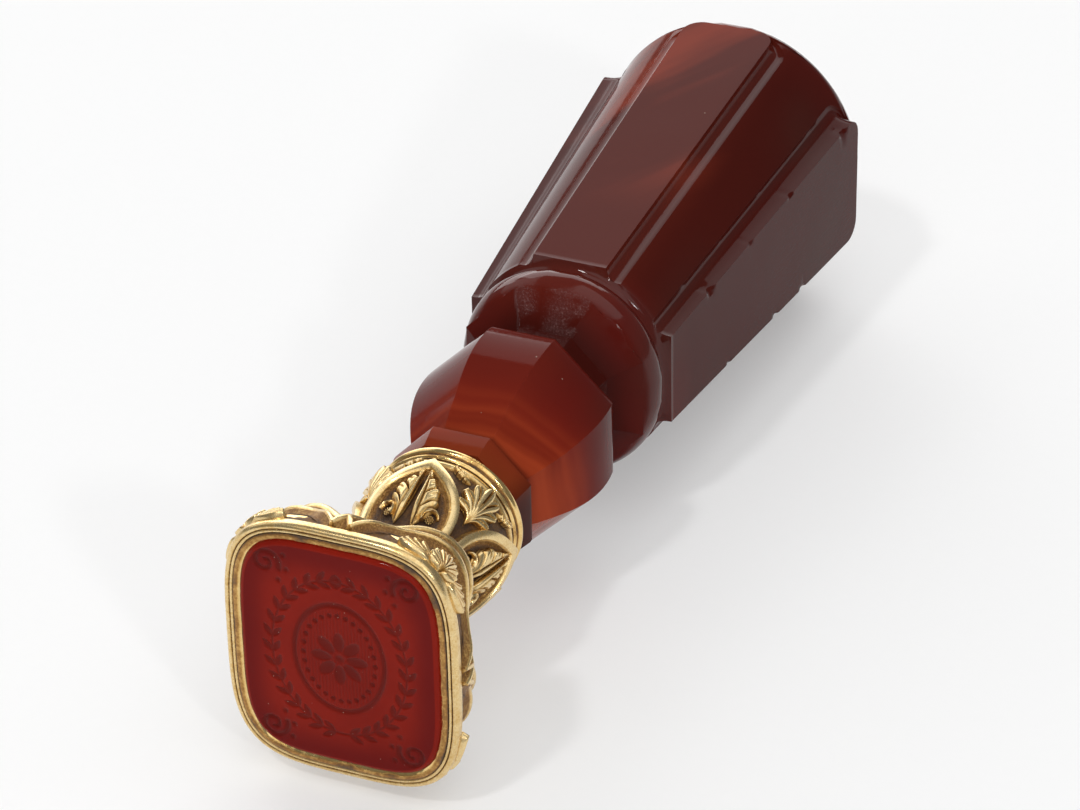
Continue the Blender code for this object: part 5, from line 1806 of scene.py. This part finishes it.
    def break_edges(self, table: np.ndarray) -> np.ndarray:
        """Breaks small chips out of the long edges of the right-hand panel.

        Each chip pushes the surface inwards by depth times 1 - d^2, where d is the distance from the
        chip's middle as a share of its reach along the edge and of half that reach across it.
        """
        across, up, along = table[..., 0], table[..., 1], table[..., 2]
        share = self.grip_share(along)
        edge = mix(self.side_near, self.side_far, share)
        half = mix(self.grip_near, self.grip_far, share)
        push = np.zeros_like(along)
        for place, side, reach, depth in self.chips:
            gap = np.hypot((along - place * MM) / (reach * MM), (up - side * edge) / (0.55 * reach * MM))
            push = np.maximum(push, depth * MM * np.clip(1 - gap**2, 0.0, 1.0))
        push = push * smooth(across, half - 1.2 * MM, half - 0.6 * MM)
        push = push * (1 + 0.3 * ripple(table, 0.5 * MM, 31))
        broken = table.copy()
        broken[..., 0] -= push
        return broken

    def tones(self, table: np.ndarray) -> Values:
        """Where the stone is frosted, where shade and glow are painted on it, and where it mirrors more.

        The neck, the groove below the bulb and the flange's lower right get painted shade. The bulb's
        lower right gets a painted glow, as of light shining through the stone. The shoulder's top facet
        is frosted in patches, which the material dots with painted sparkle. The bead, that facet and the
        hollows beside the grip's panels mirror more.
        """
        across, up, along = table[..., 0], table[..., 1], table[..., 2]
        facing = self.lower_right[0] * across + self.lower_right[1] * up
        facing = facing / np.maximum(np.hypot(across, up), TINY)
        undercut = self.bulb_base - self.undercut
        # painted shade: the groove under the bulb, the flange's lower right side and the neck are
        # darkened, as where shade falls
        groove = window(along, undercut - 0.05 * MM, 0.15 * MM, self.bulb_base, 0.5 * MM)
        flange = (1 - smooth(along, undercut, undercut + 0.1 * MM)) * smooth(facing, 0.3, 0.75)
        neck = window(along, self.bulb_top, self.neck_slope, self.shoulder_base, self.shoulder_length)
        # painted glow on the bulb's lower right, as if light shone through the stone
        low = window(along, self.bulb_base, 0.8 * MM, 29.0 * MM, 6.0 * MM)
        shoulder = window(along, self.shoulder_base - 0.3 * MM, 0.7 * MM, self.shoulder_top, 0.6 * MM)
        facet = shoulder * smooth(up - np.abs(across) * 2.2, 0.0, 1.0 * MM)
        frosted = facet * smooth(ripple(table, 1.6 * MM, 41), -0.5, 0.3)
        bead = window(along, self.shoulder_top, 0.5 * MM, self.grip_base, 0.5 * MM)
        grip = window(along, self.grip_base, 0.3 * MM, self.grip_top - 2.0 * MM, 2.0 * MM)
        half = mix(self.grip_near, self.grip_far, self.grip_share(along))
        dip = 1 - np.hypot(across / half, up / (half * self.oblong))
        coves = grip * smooth(dip, 0.002, 0.01)
        painted_shades = [self.groove_shade * groove, self.flange_shade * flange, self.neck_shade * neck]
        return {
            "rough": frosted,
            "deep": np.maximum.reduce(painted_shades),
            "painted_glow": self.painted_glow_tone * low * smooth(facing, 0.5, 0.98),
            "gloss": np.maximum.reduce([bead, self.facet_gloss * frosted, self.cove_gloss * coves]),
        }

    def build(self, material: bpy.types.Material) -> None:
        """Lofts the sections and softens the cut edges with a narrow bevel."""
        table = self.break_edges(np.stack(self.sections()))
        grid = self.axis.place(table[..., 0], table[..., 1], table[..., 2])
        maker = MeshMaker("rough", "deep", "painted_glow", "gloss")
        maker.add_tube(grid, self.tones(table))
        piece = maker.finish("handle_cut", self.edge_degrees)
        bevel = piece.modifiers.new("cut_edges", "BEVEL")
        bevel.width = self.edge_width
        bevel.segments = 2
        bevel.limit_method = "ANGLE"
        bevel.angle_limit = math.radians(self.edge_degrees)
        bevel.harden_normals = True
        dress(piece, material, Slot.BANDED_AGATE, "handle")


@dataclass(frozen=True)
class CameraView:
    """The photograph's view: a long lens, aimed at a point from an azimuth and an elevation."""

    aim: Triple = (-1.36 * MM, -2.45 * MM, 10.79 * MM)
    azimuth: float = math.radians(23.32)
    elevation: float = math.radians(32.31)
    roll: float = math.radians(1.2)
    distance: float = 401.1 * MM
    lens: float = 150.0
    sensor: float = 36.0
    clip: Pair = (0.01, 20.0)

    def build(self) -> None:
        """Makes the camera. Its up vector leans to the right by the roll."""
        level = math.cos(self.elevation)
        across, along = math.sin(self.azimuth) * level, -math.cos(self.azimuth) * level
        back = Vector((across, along, math.sin(self.elevation)))
        camera = add_object("camera", bpy.data.cameras.new("camera"))
        turned = (-back).to_track_quat("-Z", "Y").to_matrix() @ Matrix.Rotation(-self.roll, 3, "Z")
        stand = Matrix.Translation(Vector(self.aim) + back * self.distance)
        camera.matrix_world = stand @ turned.to_4x4()
        camera.data.lens = self.lens
        camera.data.sensor_width = self.sensor
        camera.data.clip_start, camera.data.clip_end = self.clip
        bpy.context.scene.camera = camera


@dataclass(frozen=True)
class Lamp:
    """A soft rectangular lamp that faces a point."""

    name: str
    place: Triple
    size: Pair
    power: float
    aim: Triple = (0.0, 0.0, 10.0 * MM)

    def build(self) -> None:
        """Makes the area light and turns it towards the seal."""
        light = bpy.data.lights.new(self.name, "AREA")
        light.shape = "RECTANGLE"
        light.size, light.size_y = self.size
        light.energy = self.power
        lamp = add_object(self.name, light)
        toward = Vector(self.aim) - Vector(self.place)
        lamp.location = self.place
        lamp.rotation_mode = "QUATERNION"
        lamp.rotation_quaternion = toward.to_track_quat("-Z", "Y")


@dataclass(frozen=True)
class Studio:
    """A pale floor, two wide windows behind, soft lights above, left and in front, and two sparks."""

    floor_half: float = 3.0
    floor_colour: Triple = (0.94, 0.94, 0.94)
    floor_glow: float = 0.3
    glow_strength: float = 0.97
    paper_scale: float = 900.0
    paper_tone: float = 0.985
    paper_roughness: float = 0.9
    paper_mirror: float = 0.1
    room_strength: float = 0.2
    lamps: tuple[Lamp, ...] = (
        Lamp("window", (-0.4, 1.0, 0.78), (1.5, 0.7), 7.6),
        Lamp("horizon", (-1.35, 1.4, 0.52), (1.5, 0.7), 8.0),
        Lamp("above", (0.5, -0.1, 1.3), (1.4, 1.4), 6.6),
        Lamp("left", (-1.05, 0.1, 0.75), (1.0, 0.8), 2.0),
        Lamp("front", (0.3, -1.1, 0.75), (1.2, 0.9), 3.2),
        Lamp("spark_front", (-0.2, -0.65, 1.0), (0.1, 0.1), 2.6),
        Lamp("spark_right", (0.8, -0.75, 0.58), (0.08, 0.08), 2.0),
    )

    def build(self) -> None:
        """Makes the floor, the lamps and the room's own light."""
        half = self.floor_half
        corners = [(-half, -half, 0), (half, -half, 0), (half, half, 0), (-half, half, 0)]
        mesh = bpy.data.meshes.new("floor")
        mesh.from_pydata(corners, [], [(0, 1, 2, 3)])
        floor = add_object("floor", mesh)
        material, nodes, shader = shader_of("floor_paper")
        paper = nodes.noise(nodes.place(), self.paper_scale, 3.0)
        darker = tuple(self.paper_tone * value for value in self.floor_colour)
        nodes.give(
            shader,
            Base_Color=nodes.blend(paper, self.floor_colour, darker),
            Roughness=self.paper_roughness,
            Specular_IOR_Level=self.paper_mirror,
        )
        self.lift_shadows(nodes, shader)
        floor.data.materials.append(material)
        for lamp in self.lamps:
            lamp.build()
        self.build_room()

    def lift_shadows(self, nodes: NodeTree, shader: bpy.types.Node) -> None:
        """Mixes white into the floor where it is looked at, straight, mirrored or through something."""
        path = nodes.add("LightPath").outputs
        seen = nodes.plus(path["Is Camera Ray"], path["Is Glossy Ray"])
        seen = nodes.maths("ADD", seen, path["Is Transmission Ray"], clamp=True)
        white = nodes.add("Emission", None, Color=(1.0, 1.0, 1.0), Strength=self.glow_strength)
        share = nodes.times(seen, self.floor_glow)
        mixed = nodes.add("MixShader", None, i0=share, i1=shader.outputs[0], i2=white.outputs[0])
        nodes.give(nodes.tree.nodes["Material Output"], Surface=mixed.outputs[0])

    def build_room(self) -> None:
        """Makes the world: an even, dim white room."""
        world = bpy.data.worlds.new("room")
        bpy.context.scene.world = world
        world.use_nodes = True
        nodes = NodeTree(world.node_tree)
        nodes.give(nodes.tree.nodes["Background"], Color=(1.0, 1.0, 1.0), Strength=self.room_strength)


def dress_hidden_nodes(gold: bpy.types.Material, pitch: bpy.types.Material) -> None:
    """Gives the pieces inside the mount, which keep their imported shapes, their finishes."""
    hidden = {"back_plate": gold, "cap_plate": gold, "fixing_pin": gold, "pitch_core": pitch}
    for name, material in hidden.items():
        paint(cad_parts[name], material)
        LOG.info("%s: keeps its packed shape", name)


def main() -> None:
    """Builds the seal's pieces in order, from the engraved face to the domed end, then the studio."""
    logging.basicConfig(level=logging.INFO, format="%(name)s: %(message)s")
    bpy.context.scene.view_settings.view_transform = "Standard"
    axis = SealAxis.from_frame()
    outline = StoneOutline()
    handle = Handle(axis)
    effects = Effects()
    chased = GoldFinish(
        Slot.CHASED_GOLD.value,
        worn=(0.83, 0.63, 0.32),
        plain=(0.67, 0.43, 0.15),
        tarnish=(0.28, 0.14, 0.045),
        soil=(0.06, 0.028, 0.012),
        polish=0.21,
        matting=1.0,
        grain=5000.0,
    ).build(effects)
    polished = GoldFinish(
        Slot.POLISHED_GOLD.value,
        worn=(0.87, 0.63, 0.28),
        plain=(0.76, 0.49, 0.17),
        tarnish=(0.36, 0.18, 0.055),
        soil=(0.07, 0.036, 0.016),
        polish=0.08,
        matting=0.3,
        grain=3500.0,
    ).build(effects)
    agate = AgateFinish(
        Slot.BANDED_AGATE.value,
        centre=(0.0, axis.face + handle.base, axis.rest_height),
        stops=[
            (0.0, (0.185, 0.030, 0.009)),
            (0.05, (0.195, 0.022, 0.008)),
            (0.10, (0.165, 0.014, 0.007)),
            (0.15, (0.118, 0.0105, 0.007)),
            (0.22, (0.088, 0.008, 0.0055)),
            (0.30, (0.09, 0.0075, 0.005)),
            (0.35, (0.084, 0.009, 0.006)),
            (0.40, (0.060, 0.0075, 0.005)),
            (0.65, (0.056, 0.007, 0.0045)),
            (0.85, (0.052, 0.0065, 0.0045)),
            (1.0, (0.072, 0.008, 0.0055)),
        ],
        length=72.6 * MM,
    ).build(effects)
    carnelian = CarnelianFinish(
        Slot.CARNELIAN.value,
        body=(0.235, 0.0125, 0.006),
        cloud=(0.195, 0.010, 0.005),
        cut=(0.095, 0.010, 0.007),
        border=(0.12, 0.0055, 0.0055),
    ).build(effects)
    pitch = PitchFinish(Slot.PITCH.value, (0.03, 0.02, 0.015)).build()
    MatrixStone(axis, outline).build(carnelian)
    Bezel(axis, outline).build(polished)
    Foot(axis, outline).build(chased)
    Cup(axis).build(chased)
    CollarRing(axis).build(polished)
    handle.build(agate)
    dress_hidden_nodes(polished, pitch)
    CameraView().build()
    Studio().build()


if __name__ == "__main__":
    main()
